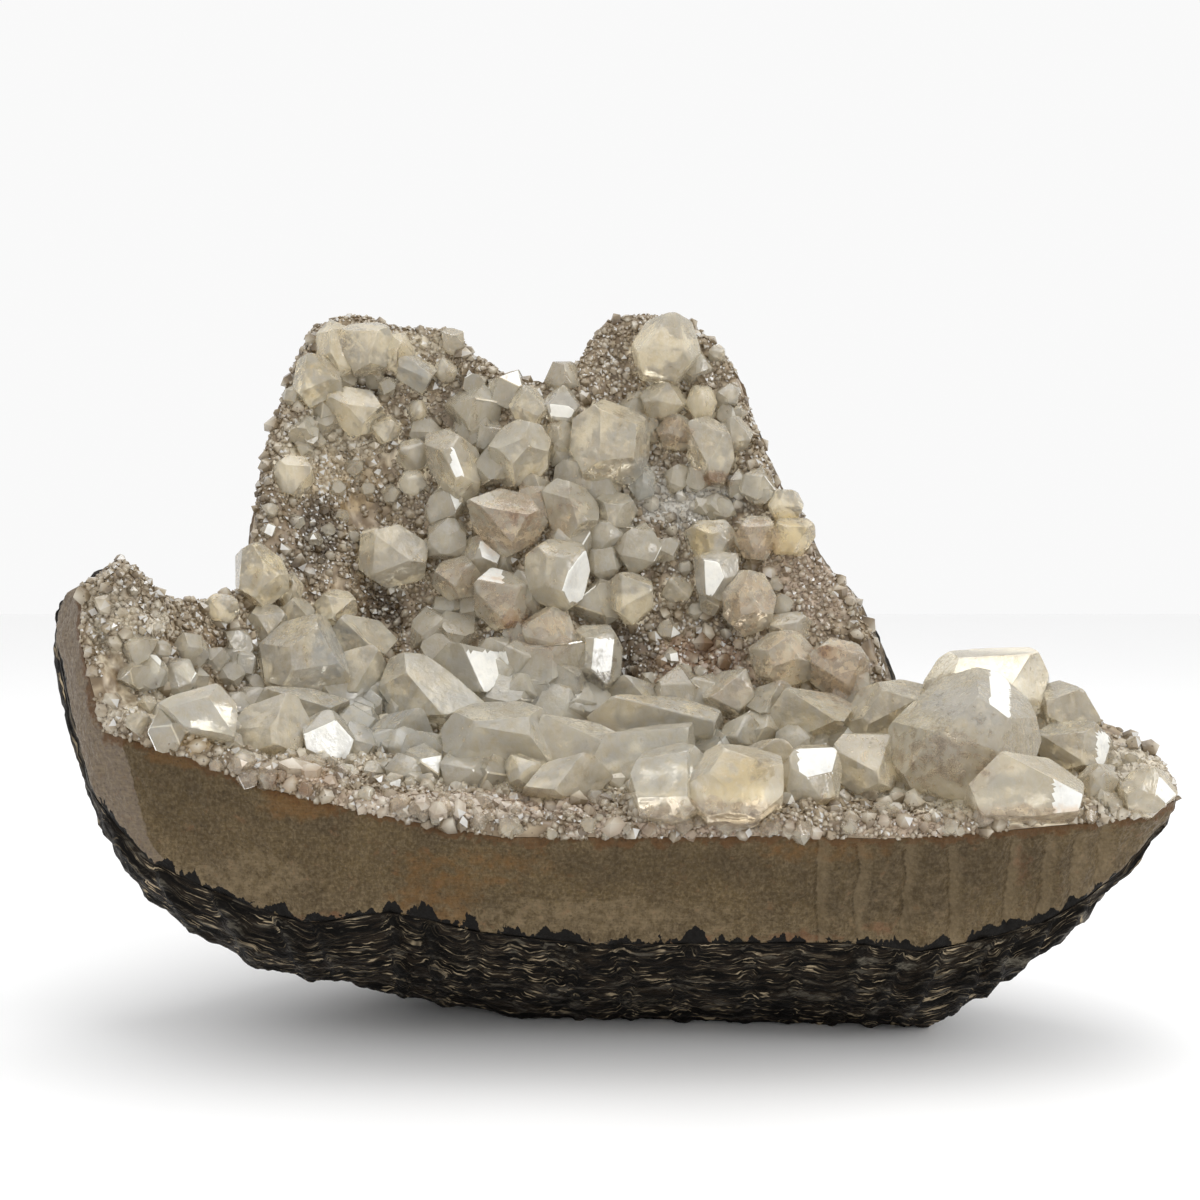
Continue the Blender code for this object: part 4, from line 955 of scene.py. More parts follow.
@dataclass(frozen=True)
class ApophylliteFinish:
    """Milky, partly clear crystals: glassy faces, cloudy veils inside, stains in places, painted glint
    specks.
    """

    name: str = "apophyllite"
    clearer: Colour = srgb(233, 218, 187)
    milk: Colour = srgb(255, 247, 224)
    white: Colour = srgb(255, 252, 242)
    cream: Colour = srgb(246, 226, 176)
    peach: Colour = srgb(230, 204, 174)
    frost: Colour = srgb(232, 234, 230)
    rust: Colour = srgb(170, 118, 72)
    dark: Colour = srgb(104, 90, 70)
    line: Colour = srgb(150, 122, 84)
    clear: float = 0.7
    roughness: float = 0.07

    def material(self, effects: Effects) -> bpy.types.Material:
        """Builds the material."""
        finish, w, shader = new_finish(self.name)
        place = w.place_mm()
        facet = w.value_of("facet")
        clouds = w.effect(effects.mottle, Place=place, Size=8.0, Contrast=2.6)
        # Partly painted light: each flat face's random tone shifts its milkiness, as faces catch light
        # unevenly.
        clouds = w.math("MULTIPLY_ADD", w.math("SUBTRACT", facet, 0.5), 0.45, clouds, clamp=True)
        colour = w.paint(clouds, self.clearer, self.milk)
        veils = w.effect(effects.mottle, Place=w.stretched(place, (1.0, 1.0, 0.35)), Size=2.4, Contrast=5.0)
        colour = w.glaze(veils, 0.36, colour, self.white)
        threads = w.noise(w.stretched(place, (1.0, 1.0, 0.5)), 4.5, 2, 0.6, 0.8)
        threads = w.ease(w.math("ABSOLUTE", w.math("SUBTRACT", threads, 0.5)), 0.022, 0.004)
        colour = w.glaze(threads, 0.45, colour, self.white)
        cloud = w.noise(place, 3.2, 3)
        stains = (
            ("sand", self.cream, 0.8),
            ("blush", self.peach, 0.7),
            ("frost", self.frost, 0.8),
            ("pale", self.white, 0.75),
            ("shade", self.dark, 0.6),
            ("rust", self.rust, 0.7),
        )
        colour = effects.stained(w, colour, cloud, 1.5, stains)
        colour = effects.stained(w, colour, cloud, 1.4, (("foot", self.clearer, 0.4),))
        edge = w.math("MULTIPLY", w.value_of("edge"), w.ease(clouds, 0.6, 0.2))
        colour = w.glaze(edge, 0.35, colour, self.line)
        # Painted glints: small white specks.
        painted_glint_specks = w.effect(effects.specks, Place=place, Size=1.0, Share=0.07)
        colour = w.glaze(painted_glint_specks, 0.6, colour, self.white)
        w.feed(shader.inputs["Base Color"], colour)
        w.feed(shader.inputs["Roughness"], w.ease(veils, 0.0, 1.0, (self.roughness, self.roughness * 2.5)))
        w.feed(shader.inputs["Transmission Weight"], self.clear)
        w.feed(shader.inputs["IOR"], 1.54)
        w.feed(shader.inputs["Normal"], w.raised(w.noise(place, 1.6, 2), 0.35, 0.6))
        return finish


@dataclass(frozen=True)
class FloorFinish:
    """A pale, even studio floor."""

    colour: Colour = srgb(250, 250, 250)

    def material(self) -> bpy.types.Material:
        """Builds the material."""
        finish, w, shader = new_finish("floor")
        w.feed(shader.inputs["Base Color"], self.colour)
        w.feed(shader.inputs["Roughness"], 0.7)
        return finish


class Neighbours:
    """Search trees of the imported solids, which say where pieces meet."""

    def __init__(self) -> None:
        """Builds the trees."""
        self.rind = Skin.of_node(RIND).tree()
        self.wall = Skin.of_node(WALL).tree()
        self.crust = Skin.of_node(CRUST).tree()
        self.crystal_nodes = sorted(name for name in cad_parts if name.startswith(CRYSTAL_PREFIX))
        points: list[np.ndarray] = []
        faces: list[np.ndarray] = []
        start = 0
        for name in self.crystal_nodes:
            skin = Skin.of_node(name)
            points.append(skin.points)
            faces.append(skin.faces + start)
            start += len(skin.points)
        self.crystals = Skin(np.concatenate(points), np.concatenate(faces)).tree()

    def in_crystal(self, points: np.ndarray, margin: float) -> np.ndarray:
        """Which points lie inside a big crystal, or outside it by less than a margin.

        Args:
            points: The points.
            margin: The margin; a negative one asks for points that lie deeper than it.

        Returns:
            One truth value for each point.
        """
        found = []
        for point in points.tolist():
            place, normal, _, away = self.crystals.find_nearest(point, 0.03)
            if place is None:
                found.append(False)
                continue
            height = (Vector(point) - place).dot(normal)
            found.append(math.copysign(away, height) < margin)
        return np.array(found)


@dataclass
class Box:
    """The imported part's box, which the visible pieces stay inside."""

    low: np.ndarray
    high: np.ndarray
    slack: float = 0.0001

    def hold(self, points: np.ndarray) -> np.ndarray:
        """The points, moved into the box where they lie outside it."""
        return np.clip(points, self.low + self.slack, self.high - self.slack)

    def inside(self, points: np.ndarray) -> np.ndarray:
        """Which points lie in the box."""
        return ((points > self.low + self.slack) & (points < self.high - self.slack)).all(axis=1)


@dataclass
class BandedRind:
    """The dark rind: laminae and slanting ribs along its broken edge, and a knobbly back."""

    grain_size: float = 0.0032
    broken_grain_size: float = 0.0018
    hidden_within: float = 0.0011
    held_within: float = 0.0006
    rib_height: float = 0.0030
    knob_height: float = 0.0016
    knob_size: float = 0.014
    pit_depth: float = 0.0005
    pit_size: float = 0.004
    sole_height: float = 0.0004
    lamina_height: float = 0.0007
    lamina_size: float = 0.0024
    arch: float = 0.0034
    patches: tuple[Patch, ...] = (
        *tinted(
            Tint.PALE,
            (870, 962, 14, 5, 0.6), (908, 966, 12, 5, 0.6), (1014, 962, 20, 6, 0.6),
            (640, 1003, 30, 8, 0.3),
        ),
    )

    def build(self, near: Neighbours, box: Box, effects: Effects) -> bpy.types.Object:
        """Shapes and dresses the rind.

        Args:
            near: The solids that it meets.
            box: The part's box.
            effects: The shared node groups.

        Returns:
            The piece.
        """
        coarse = Skin.of_node(RIND)
        shown = distances(near.wall, coarse.points[coarse.faces].mean(axis=1)) > self.hidden_within
        skin = coarse.refined(self.grain_size, shown)
        across = skin.face_normals()
        broken = across[:, 1] < -0.4 * np.linalg.norm(across, axis=1)
        skin = skin.refined(self.broken_grain_size, skin.on_faces["shown"] & broken)
        away = distances(near.wall, skin.points)
        held = away < self.held_within
        skin.smooth(7, held)
        away = distances(near.wall, skin.points)
        grain = Grain(3)
        normals = skin.normals()
        points = skin.points
        fade = np.clip(away / 0.002, 0, 1)
        facing = np.clip(-normals[:, 1] * 1.4, 0, 1)
        ribs = rib_height(points, grain) * facing
        layers = np.stack([away + self.arch * ribs, points[:, 0] * 0.08, points[:, 1] * 0.02], axis=1)
        bands = grain.at(layers, self.lamina_size)
        rise = self.rib_height * (ribs - 0.2 * facing) + self.lamina_height * bands
        rise += self.knob_height * grain.layered(points, self.knob_size, 4, 0.55) * (1 - 0.6 * facing)
        rise += self.pit_depth * grain.layered(points, self.pit_size, 2)
        moved = points + normals * (rise * fade)[:, None]
        moved[:, 2] = np.where(points[:, 2] < self.sole_height, points[:, 2], moved[:, 2])
        skin.points = box.hold(moved)
        skin.on_points["depth_mm"] = away * 1000
        skin.on_points["rib"] = ribs
        skin.on_points["broken"] = facing
        skin.on_points["pale"] = patch_values(self.patches, skin.points, grain)["pale"]
        piece = skin.thing("rind", RindFinish().material(effects), 50)
        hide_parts(RIND)
        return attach(piece, BODY)


@dataclass
class QuartzWall:
    """The massive quartz, seen where it is broken: the front band, the ends and the crest.

    The widths of grooves, columns and flutes are in pixels of the view. left_face is the border of
    the plain face at the left end: how far down the view, and how far right it reaches there.
    """

    grain_size: float = 0.0014
    hidden_within: float = 0.0012
    held_within: float = 0.0006
    groove_depth: float = 0.0004
    groove_width: float = 2.5
    column_bulge: float = 0.0016
    column_round: float = 14.0
    lump_height: float = 0.0011
    lump_size: float = 0.016
    chip_height: float = 0.0004
    chip_size: float = 0.004
    cover: float = 0.00015
    grooves: tuple[Stroke, ...] = (
        Stroke(817, 842, 818, 940), Stroke(858, 850, 855, 940), Stroke(905, 850, 899, 942),
        Stroke(952, 856, 948, 940), Stroke(1011, 845, 1003, 932), Stroke(1047, 848, 1039, 922),
        Stroke(1079, 840, 1066, 914), Stroke(1105, 830, 1094, 890),
    )
    flute_width: float = 13.0
    left_face: tuple[tuple[float, float], ...] = (
        (700, 124), (744, 124), (760, 130), (800, 141), (844, 152), (872, 180), (900, 196),
    )
    patches: tuple[Patch, ...] = (
        *tinted(
            Tint.SHADE,
            (660, 868, 120, 18, 0.25), (940, 880, 150, 40, 0.3), (175, 790, 40, 40, 0.2),
        ),
        *tinted(
            Tint.PALE,
            (245, 880, 70, 30, 0.4), (620, 915, 160, 20, 0.4), (905, 900, 80, 36, 0.3),
            (1090, 850, 60, 25, 0.2),
        ),
        *tinted(
            Tint.SAND,
            (435, 895, 44, 40, 0.6), (480, 870, 90, 20, 0.5), (185, 752, 34, 16, 1.0),
            (300, 800, 40, 20, 1.0), (820, 850, 80, 14, 0.5),
        ),
        *tinted(
            Tint.RUST,
            (1022, 862, 10, 22, 0.4), (880, 928, 20, 8, 0.5), (800, 938, 50, 6, 0.7),
            (330, 918, 30, 7, 0.5), (700, 942, 30, 6, 0.6),
        ),
    )

    def flutes(self, seen: np.ndarray) -> tuple[np.ndarray, np.ndarray]:
        """How near each point is to a groove between columns, and to the painted light side of one.

        Args:
            seen: Where the points are in the view.

        Returns:
            The distance to the nearest groove in pixels, and painted light: 1 just right of a groove,
            falling to 0.
        """
        nearest = np.full(len(seen), 60.0)
        light = np.zeros(len(seen))
        for groove in self.grooves:
            away = groove.away(seen)
            nearest = np.minimum(nearest, away)
            line = np.interp(seen[:, 1], (groove.y0, groove.y1), (groove.x0, groove.x1))
            inside = (seen[:, 0] > line) & (away < self.flute_width)
            light = np.where(inside, np.maximum(light, 1 - away / self.flute_width), light)
        return nearest, light

    def build(self, near: Neighbours, box: Box, effects: Effects) -> bpy.types.Object:
        """Shapes and dresses the broken quartz.

        Args:
            near: The solids that it meets.
            box: The part's box.
            effects: The shared node groups.

        Returns:
            The piece.
        """
        coarse = Skin.of_node(WALL)
        middles = coarse.points[coarse.faces].mean(axis=1)
        covered = np.minimum(distances(near.rind, middles), distances(near.crust, middles))
        skin = coarse.refined(self.grain_size, covered > self.hidden_within)
        to_rind = distances(near.rind, skin.points)
        to_crust = distances(near.crust, skin.points)
        held = np.minimum(to_rind, to_crust) < self.held_within
        skin.smooth(6, held)
        grain = Grain(5)
        normals = skin.normals()
        points = skin.points
        facing = np.clip(-normals[:, 1] * 1.5, 0, 1)
        fade = np.clip((np.minimum(to_rind, to_crust) - 0.0003) / 0.002, 0, 1)
        seen = VIEW.pixels(points)
        wander = np.stack([6 * grain.layered(points, 0.014, 2), 3 * grain.at(points + 0.3, 0.012)], axis=1)
        groove, light = self.flutes(seen + wander)
        bulge = np.clip(groove / self.column_round, 0, 1) ** 0.7 - 0.8
        cut = self.groove_depth * np.exp(-(groove / self.groove_width) ** 2)
        rise = facing * (self.column_bulge * bulge - cut)
        rise += self.lump_height * grain.layered(points, self.lump_size, 4, 0.55)
        rise += self.chip_height * grain.ridged(points, self.chip_size)
        skin.points = box.hold(points + normals * (rise * fade + self.cover)[:, None])
        skin.on_points["to_rind_mm"] = to_rind * 1000
        skin.on_points["to_crust_mm"] = to_crust * 1000
        # Painted shade in the grooves and painted light on the lit side of each column.
        skin.on_points["groove"] = np.clip(1 - groove / 3, 0, 1) * facing
        skin.on_points["painted_flute_light"] = light * facing
        skin.on_points["rib"] = rib_height(points, grain) * facing
        rows, columns = zip(*self.left_face)
        border = np.interp(seen[:, 1], rows, columns)
        skin.on_points["face"] = np.clip((border - seen[:, 0]) / 20, -1, 1)
        values = patch_values(self.patches, skin.points, grain)
        skin.on_points |= {label: values[label] for label in ("shade", "pale", "sand", "rust")}
        piece = skin.thing("massive_quartz", MassiveQuartzFinish().material(effects), 60)
        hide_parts(WALL)
        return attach(piece, BODY)


DRUSE_PATCHES = (
    # Painted shade: darker patches in the crust's hollows and along its rim.
    *tinted(
        Tint.SHADE,
        (320, 528, 26, 34, 0.8), (383, 612, 24, 28, 0.9), (622, 655, 34, 36, 0.8),
        (560, 468, 16, 14, 0.8), (375, 385, 28, 14, 0.8), (730, 620, 14, 22, 0.7),
        (440, 400, 40, 26, 0.4), (300, 560, 30, 24, 0.5), (600, 585, 14, 40, 0.5),
        (668, 560, 24, 20, 0.4), (280, 790, 60, 8, 0.6), (470, 820, 120, 6, 0.5), (700, 838, 160, 6, 0.4),
        (120, 590, 26, 22, 0.4), (228, 640, 22, 22, 0.35), (265, 500, 12, 40, 0.4),
        (860, 640, 20, 40, 0.3),
    ),
    *tinted(
        Tint.PALE,
        (430, 808, 110, 16, 0.5), (1135, 780, 44, 50, 0.8), (160, 622, 14, 14, 0.9),
        (108, 716, 16, 20, 0.5),
    ),
    *tinted(
        Tint.SAND,
        (545, 682, 46, 20, 0.7), (345, 480, 46, 40, 0.5), (185, 738, 26, 16, 1.0),
        (296, 782, 34, 20, 1.0),
    ),
    *tinted(
        Tint.RUST,
        (700, 664, 62, 34, 0.7), (230, 650, 26, 22, 0.4),
    ),
    *tinted(
        Tint.BLUSH,
        (585, 712, 46, 20, 0.8), (800, 590, 60, 60, 0.5), (460, 805, 160, 18, 0.7),
        (700, 828, 160, 12, 0.6), (300, 775, 60, 24, 0.6), (900, 825, 80, 14, 0.5),
    ),
    *tinted(
        Tint.FROST,
        (692, 498, 52, 34, 0.75), (655, 490, 26, 30, 0.6),
    ),
    *tinted(
        Tint.MILK,
        (330, 450, 60, 50, 0.5), (420, 345, 60, 16, 0.5), (500, 395, 50, 16, 0.4),
        (320, 742, 100, 30, 0.6), (500, 765, 120, 34, 0.6), (680, 775, 130, 30, 0.6),
        (860, 760, 110, 34, 0.6), (440, 700, 120, 26, 0.7), (1000, 790, 100, 30, 0.8),
        (118, 620, 50, 50, 0.4), (170, 700, 60, 30, 0.5),
    ),
)


@dataclass
class DruseCrust:
    """The ground that the small quartz points stand on, which is kept for them in skin."""

    grain_size: float = 0.0025
    hidden_within: float = 0.0004
    lump_height: float = 0.0011
    lump_size: float = 0.010
    milky_within: float = 0.002
    skin: Skin = field(init=False)

    def build(self, near: Neighbours, box: Box, effects: Effects) -> bpy.types.Object:
        """Shapes and dresses the ground of the crust.

        Args:
            near: The solids that it meets.
            box: The part's box.
            effects: The shared node groups.

        Returns:
            The piece.
        """
        coarse = Skin.of_node(CRUST)
        corners_away = distances(near.wall, coarse.points)[coarse.faces].max(axis=1)
        middles_away = distances(near.wall, coarse.points[coarse.faces].mean(axis=1))
        skin = coarse.refined(self.grain_size, np.maximum(corners_away, middles_away) > self.hidden_within)
        to_wall = distances(near.wall, skin.points)
        skin.smooth(8, to_wall < 0.0007)
        grain = Grain(8)
        normals = skin.normals()
        fade = np.clip((to_wall - 0.0003) / 0.003, 0, 1)
        rise = self.lump_height * grain.layered(skin.points, self.lump_size, 3, 0.6) - 0.0004
        skin.points = box.hold(skin.points + normals * (rise * fade)[:, None])
        skin.on_points |= patch_values(DRUSE_PATCHES, skin.points, grain)
        under = np.clip(1.5 - distances(near.crystals, skin.points, 0.004) / self.milky_within, 0, 1)
        skin.on_points["milk"] = np.maximum(skin.on_points["milk"], under)
        skin.on_points["tip"] = np.clip(0.2 + 0.5 * grain.layered(skin.points, 0.003, 2) + under, 0, 1)
        skin.on_points["luck"] = np.full(len(skin.points), 0.5)
        skin.on_points["flash"] = np.zeros(len(skin.points))
        self.skin = skin
        finish = DruseFinish("druse_ground", clear=0.0, roughness=0.2).material(effects)
        piece = skin.thing("druse_ground", finish, 40)
        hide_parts(CRUST)
        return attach(piece, BODY)


@dataclass(frozen=True)
class Habit:
    """The shape of a small quartz point, as rings of six corners between two ends.

    Each ring is (height, radius) as shares of the point's own length and radius.
    """

    rings: tuple[tuple[float, float], ...]
    bottom: float
    top: float = 1.0
    corners: int = 6

    def template(self) -> tuple[np.ndarray, np.ndarray]:
        """The corners and triangles of a point that is one unit wide and long."""
        points = [(0.0, 0.0, self.bottom)]
        for height, radius in self.rings:
            for corner in range(self.corners):
                turn = 2 * math.pi * corner / self.corners
                points.append((radius * math.cos(turn), radius * math.sin(turn), height))
        points.append((0.0, 0.0, self.top))
        last = len(points) - 1
        faces = []
        for corner in range(self.corners):
            after = (corner + 1) % self.corners
            faces.append((0, 1 + after, 1 + corner))
            for ring in range(len(self.rings) - 1):
                low = 1 + ring * self.corners
                high = low + self.corners
                faces.append((low + corner, low + after, high + after))
                faces.append((low + corner, high + after, high + corner))
            high = 1 + (len(self.rings) - 1) * self.corners
            faces.append((high + corner, high + after, last))
        return np.array(points), np.array(faces)


SHORT_POINT = Habit(rings=((0.25, 1.0),), bottom=-1.0)
TALL_POINT = Habit(rings=((-0.5, 0.9), (0.42, 1.0)), bottom=-0.8)


@dataclass(frozen=True)
class Zone:
    """A part of the crust, with how large and how close its points are."""

    name: str
    belongs: Callable[[np.ndarray], np.ndarray]
    spacing: float
    radius: tuple[float, float]
    length: tuple[float, float]
    habit: Habit
    seed: int
    tilt: float = 0.5


def seen_between(low: float, high: float) -> Callable[[np.ndarray], np.ndarray]:
    """Chooses points by how far down the view they lie."""
    return lambda points: (VIEW.pixels(points)[:, 1] > low) & (VIEW.pixels(points)[:, 1] <= high)


@dataclass
class DrusePoints:
    """The small quartz points of one zone, as one joined mesh."""

    zone: Zone

    def places(self, ground: Skin, near: Neighbours) -> tuple[np.ndarray, np.ndarray]:
        """Where the points stand, no two of them too near each other.

        Args:
            ground: The surface that they stand on.
            near: The solids, for the big crystals that they stay out of.

        Returns:
            The places and the ways out of the ground there.
        """
        zone = self.zone
        chance = np.random.default_rng(zone.seed)
        shown = np.flatnonzero(ground.on_faces["shown"])
        faces = ground.faces[shown]
        across = ground.face_normals()[shown]
        area = np.linalg.norm(across, axis=1) / 2
        count = int(area.sum() / zone.spacing ** 2 * 3.2)
        picked = chance.choice(len(faces), count, p=area / area.sum())
        weights = chance.dirichlet((1, 1, 1), count)
        places = (ground.points[faces[picked]] * weights[..., None]).sum(axis=1)
        ways = across[picked] / (2 * area[picked])[:, None]
        mine = zone.belongs(places)
        places, ways = places[mine], ways[mine]
        kept = []
        taken: dict[tuple[int, int, int], list[int]] = {}
        cells = np.floor(places / zone.spacing).astype(int)
        for number, cell in enumerate(map(tuple, cells.tolist())):
            place = places[number]
            clash = False
            for step in NEIGHBOUR_CELLS:
                for other in taken.get((cell[0] + step[0], cell[1] + step[1], cell[2] + step[2]), ()):
                    away = places[other] - place
                    if away @ away < zone.spacing ** 2:
                        clash = True
                        break
                if clash:
                    break
            if not clash:
                kept.append(number)
                taken.setdefault(cell, []).append(number)
        places, ways = places[kept], ways[kept]
        free = ~near.in_crystal(places + ways * 0.0008, -0.0001)
        return places[free], ways[free]

    def build(
        self, ground: Skin, near: Neighbours, box: Box, finish: bpy.types.Material
    ) -> bpy.types.Object:
        """Shapes and dresses the zone's points.

        Args:
            ground: The surface that they stand on.
            near: The solids that they stay out of.
            box: The part's box.
            finish: Their material.

        Returns:
            The piece.
        """
        zone = self.zone
        places, ways = self.places(ground, near)
        chance = np.random.default_rng(zone.seed + 100)
        grain = Grain(zone.seed)
        count = len(places)
        patchy = 1 + 0.28 * grain.at(places, 0.018)
        luck = chance.random(count)
        radius = chance.uniform(*zone.radius, count) * patchy * (0.85 + 0.6 * luck ** 3)
        length = radius * chance.uniform(*zone.length, count)
        axis = ways + chance.normal(scale=zone.tilt, size=(count, 3))
        axis /= np.linalg.norm(axis, axis=1, keepdims=True)
        side = np.cross(axis, chance.normal(size=(count, 3)))
        side /= np.linalg.norm(side, axis=1, keepdims=True)
        other = np.cross(axis, side)
        shape, triangles = zone.habit.template()
        uneven = 1 + chance.uniform(-0.22, 0.22, (count, len(shape), 1))
        local = shape[None] * uneven
        local[:, -1, :2] += chance.uniform(-0.28, 0.28, (count, 2))
        points = (
            places[:, None]
            + side[:, None] * (local[..., 0:1] * radius[:, None, None])
            + other[:, None] * (local[..., 1:2] * radius[:, None, None])
            + axis[:, None] * (local[..., 2:3] * length[:, None, None])
        )
        whole = box.inside(points.reshape(-1, 3)).reshape(count, -1).all(axis=1)
        points, luck, length = points[whole], luck[whole], length[whole]
        count = len(points)
        faces = triangles[None] + (np.arange(count) * len(shape))[:, None, None]
        skin = Skin(points.reshape(-1, 3), faces.reshape(-1, 3))
        values = patch_values(DRUSE_PATCHES, points[:, -1], grain)
        skin.on_points = {label: np.repeat(value, len(shape)) for label, value in values.items()}
        skin.on_points["tip"] = np.tile(np.clip((shape[:, 2] + 0.1) / 1.1, 0, 1), count)
        skin.on_points["luck"] = np.repeat(luck, len(shape))
        # Painted glints: about half of the faces that mirror the side light turn near white.
        across = skin.face_normals()
        facing = (across @ FLASH_FACE) / np.linalg.norm(across, axis=1)
        lit = chance.random(len(facing)) < 0.5
        skin.on_faces["flash"] = np.clip((facing - 0.90) * 14, 0, 1) * lit
        log.info("%s has %d points and %d triangles", zone.name, count, len(skin.faces))
        piece = skin.thing(zone.name, finish, None)
        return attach(piece, BODY)


NEIGHBOUR_CELLS = [(i, j, k) for i in (0, -1, 1) for j in (0, -1, 1) for k in (0, -1, 1)]

ZONES = (
    Zone("wall_druse", seen_between(0, 560), 0.0013, (0.0008, 0.0013), (0.6, 1.1), SHORT_POINT, 21),
    Zone("wall_crystals", seen_between(0, 640), 0.0042, (0.0014, 0.0024), (0.9, 1.4), TALL_POINT, 31),
    Zone("shelf_druse", seen_between(560, 760), 0.0013, (0.0008, 0.0013), (0.6, 1.1), SHORT_POINT, 22),
    Zone("shelf_crystals", seen_between(640, 1200), 0.0046, (0.0015, 0.0026), (0.9, 1.3), TALL_POINT, 32),
    Zone("rim_druse", seen_between(760, 1200), 0.0012, (0.0008, 0.0013), (0.6, 1.0), SHORT_POINT, 23),
)

CRYSTAL_PATCHES = (
    # Darker patches; the rows along the rim darken the crystals' lower parts, partly as painted shade.
    *tinted(
        Tint.SHADE,
        (594, 672, 26, 26, 0.5), (762, 770, 14, 14, 0.4), (950, 750, 60, 50, 0.3),
        (280, 780, 100, 20, 0.5), (490, 814, 150, 18, 0.5), (760, 820, 160, 14, 0.5),
        (1020, 822, 130, 12, 0.5),
    ),
    # Paler patches; several lie on bright faces and paint a soft highlight there.
    *tinted(
        Tint.PALE,
        (412, 482, 16, 14, 0.8), (716, 577, 26, 26, 0.7), (667, 345, 30, 20, 0.2),
        (975, 705, 46, 26, 0.7), (470, 670, 34, 24, 0.7), (655, 720, 66, 18, 0.5),
        (561, 406, 18, 14, 0.9), (560, 760, 160, 50, 0.4), (480, 715, 260, 50, 0.45),
        (240, 690, 110, 60, 0.5), (392, 555, 40, 40, 0.35),
    ),
    *tinted(
        Tint.SAND,
        (263, 577, 26, 34, 0.4), (317, 382, 26, 24, 0.4), (790, 540, 26, 24, 0.7),
        (704, 538, 16, 22, 0.7), (740, 780, 34, 34, 0.7), (808, 719, 44, 18, 0.4),
    ),
    *tinted(
        Tint.RUST,
        (516, 620, 18, 12, 0.6), (715, 478, 20, 10, 0.7), (827, 652, 14, 10, 0.7),
        (520, 518, 18, 12, 0.5), (296, 784, 30, 18, 0.7),
    ),
    *tinted(
        Tint.BLUSH,
        (512, 520, 44, 36, 0.7), (561, 515, 24, 26, 0.5), (548, 634, 30, 28, 0.6),
        (672, 430, 22, 20, 0.7), (756, 540, 24, 26, 0.7), (748, 604, 30, 36, 0.6),
        (838, 668, 34, 34, 0.8), (782, 658, 34, 26, 0.6), (955, 762, 60, 34, 0.45),
        (457, 579, 24, 22, 0.5), (500, 602, 28, 26, 0.6), (728, 692, 26, 18, 0.5),
        (260, 775, 110, 20, 0.7), (490, 808, 160, 20, 0.7), (760, 816, 170, 18, 0.7),
        (1020, 818, 140, 14, 0.7),
    ),
    *tinted(
        Tint.FROST,
        (417, 375, 20, 20, 0.6), (642, 482, 18, 24, 0.8), (330, 650, 24, 34, 0.7),
        (192, 718, 46, 24, 0.5), (644, 754, 40, 26, 0.5), (420, 720, 120, 40, 0.5),
        (680, 745, 90, 40, 0.5),
    ),
)


# Where the shelf starts, in pixels down the view.
SHELF_TOP = 640

# An edge between a crystal's flat faces turns by more than this, in degrees.
SHARP_ANGLE = 12

# How far towards the camera a painted reflection's face must look, in metres along the way there.
TOWARD_CAMERA = 0.1

# The way a face looks that mirrors the side light to the camera; small faces that look so get a painted
# glint.
FLASH_FACE = np.array((0.46, -0.84, 0.28)) / math.hypot(0.46, 0.84, 0.28)

# Large crystals' faces painted bright as reflections: their middles and half sizes in pixels of the view.
PAINTED_REFLECTIONS = (
    (461, 465, 8, 15), (562, 408, 9, 7), (484, 560, 15, 22), (572, 569, 14, 26), (721, 571, 16, 19),
    (604, 655, 14, 13), (487, 674, 17, 18), (325, 740, 24, 19), (821, 772, 18, 25), (1103, 748, 5, 13),
    (1070, 792, 13, 18), (1162, 795, 14, 16), (1000, 700, 8, 24),
)


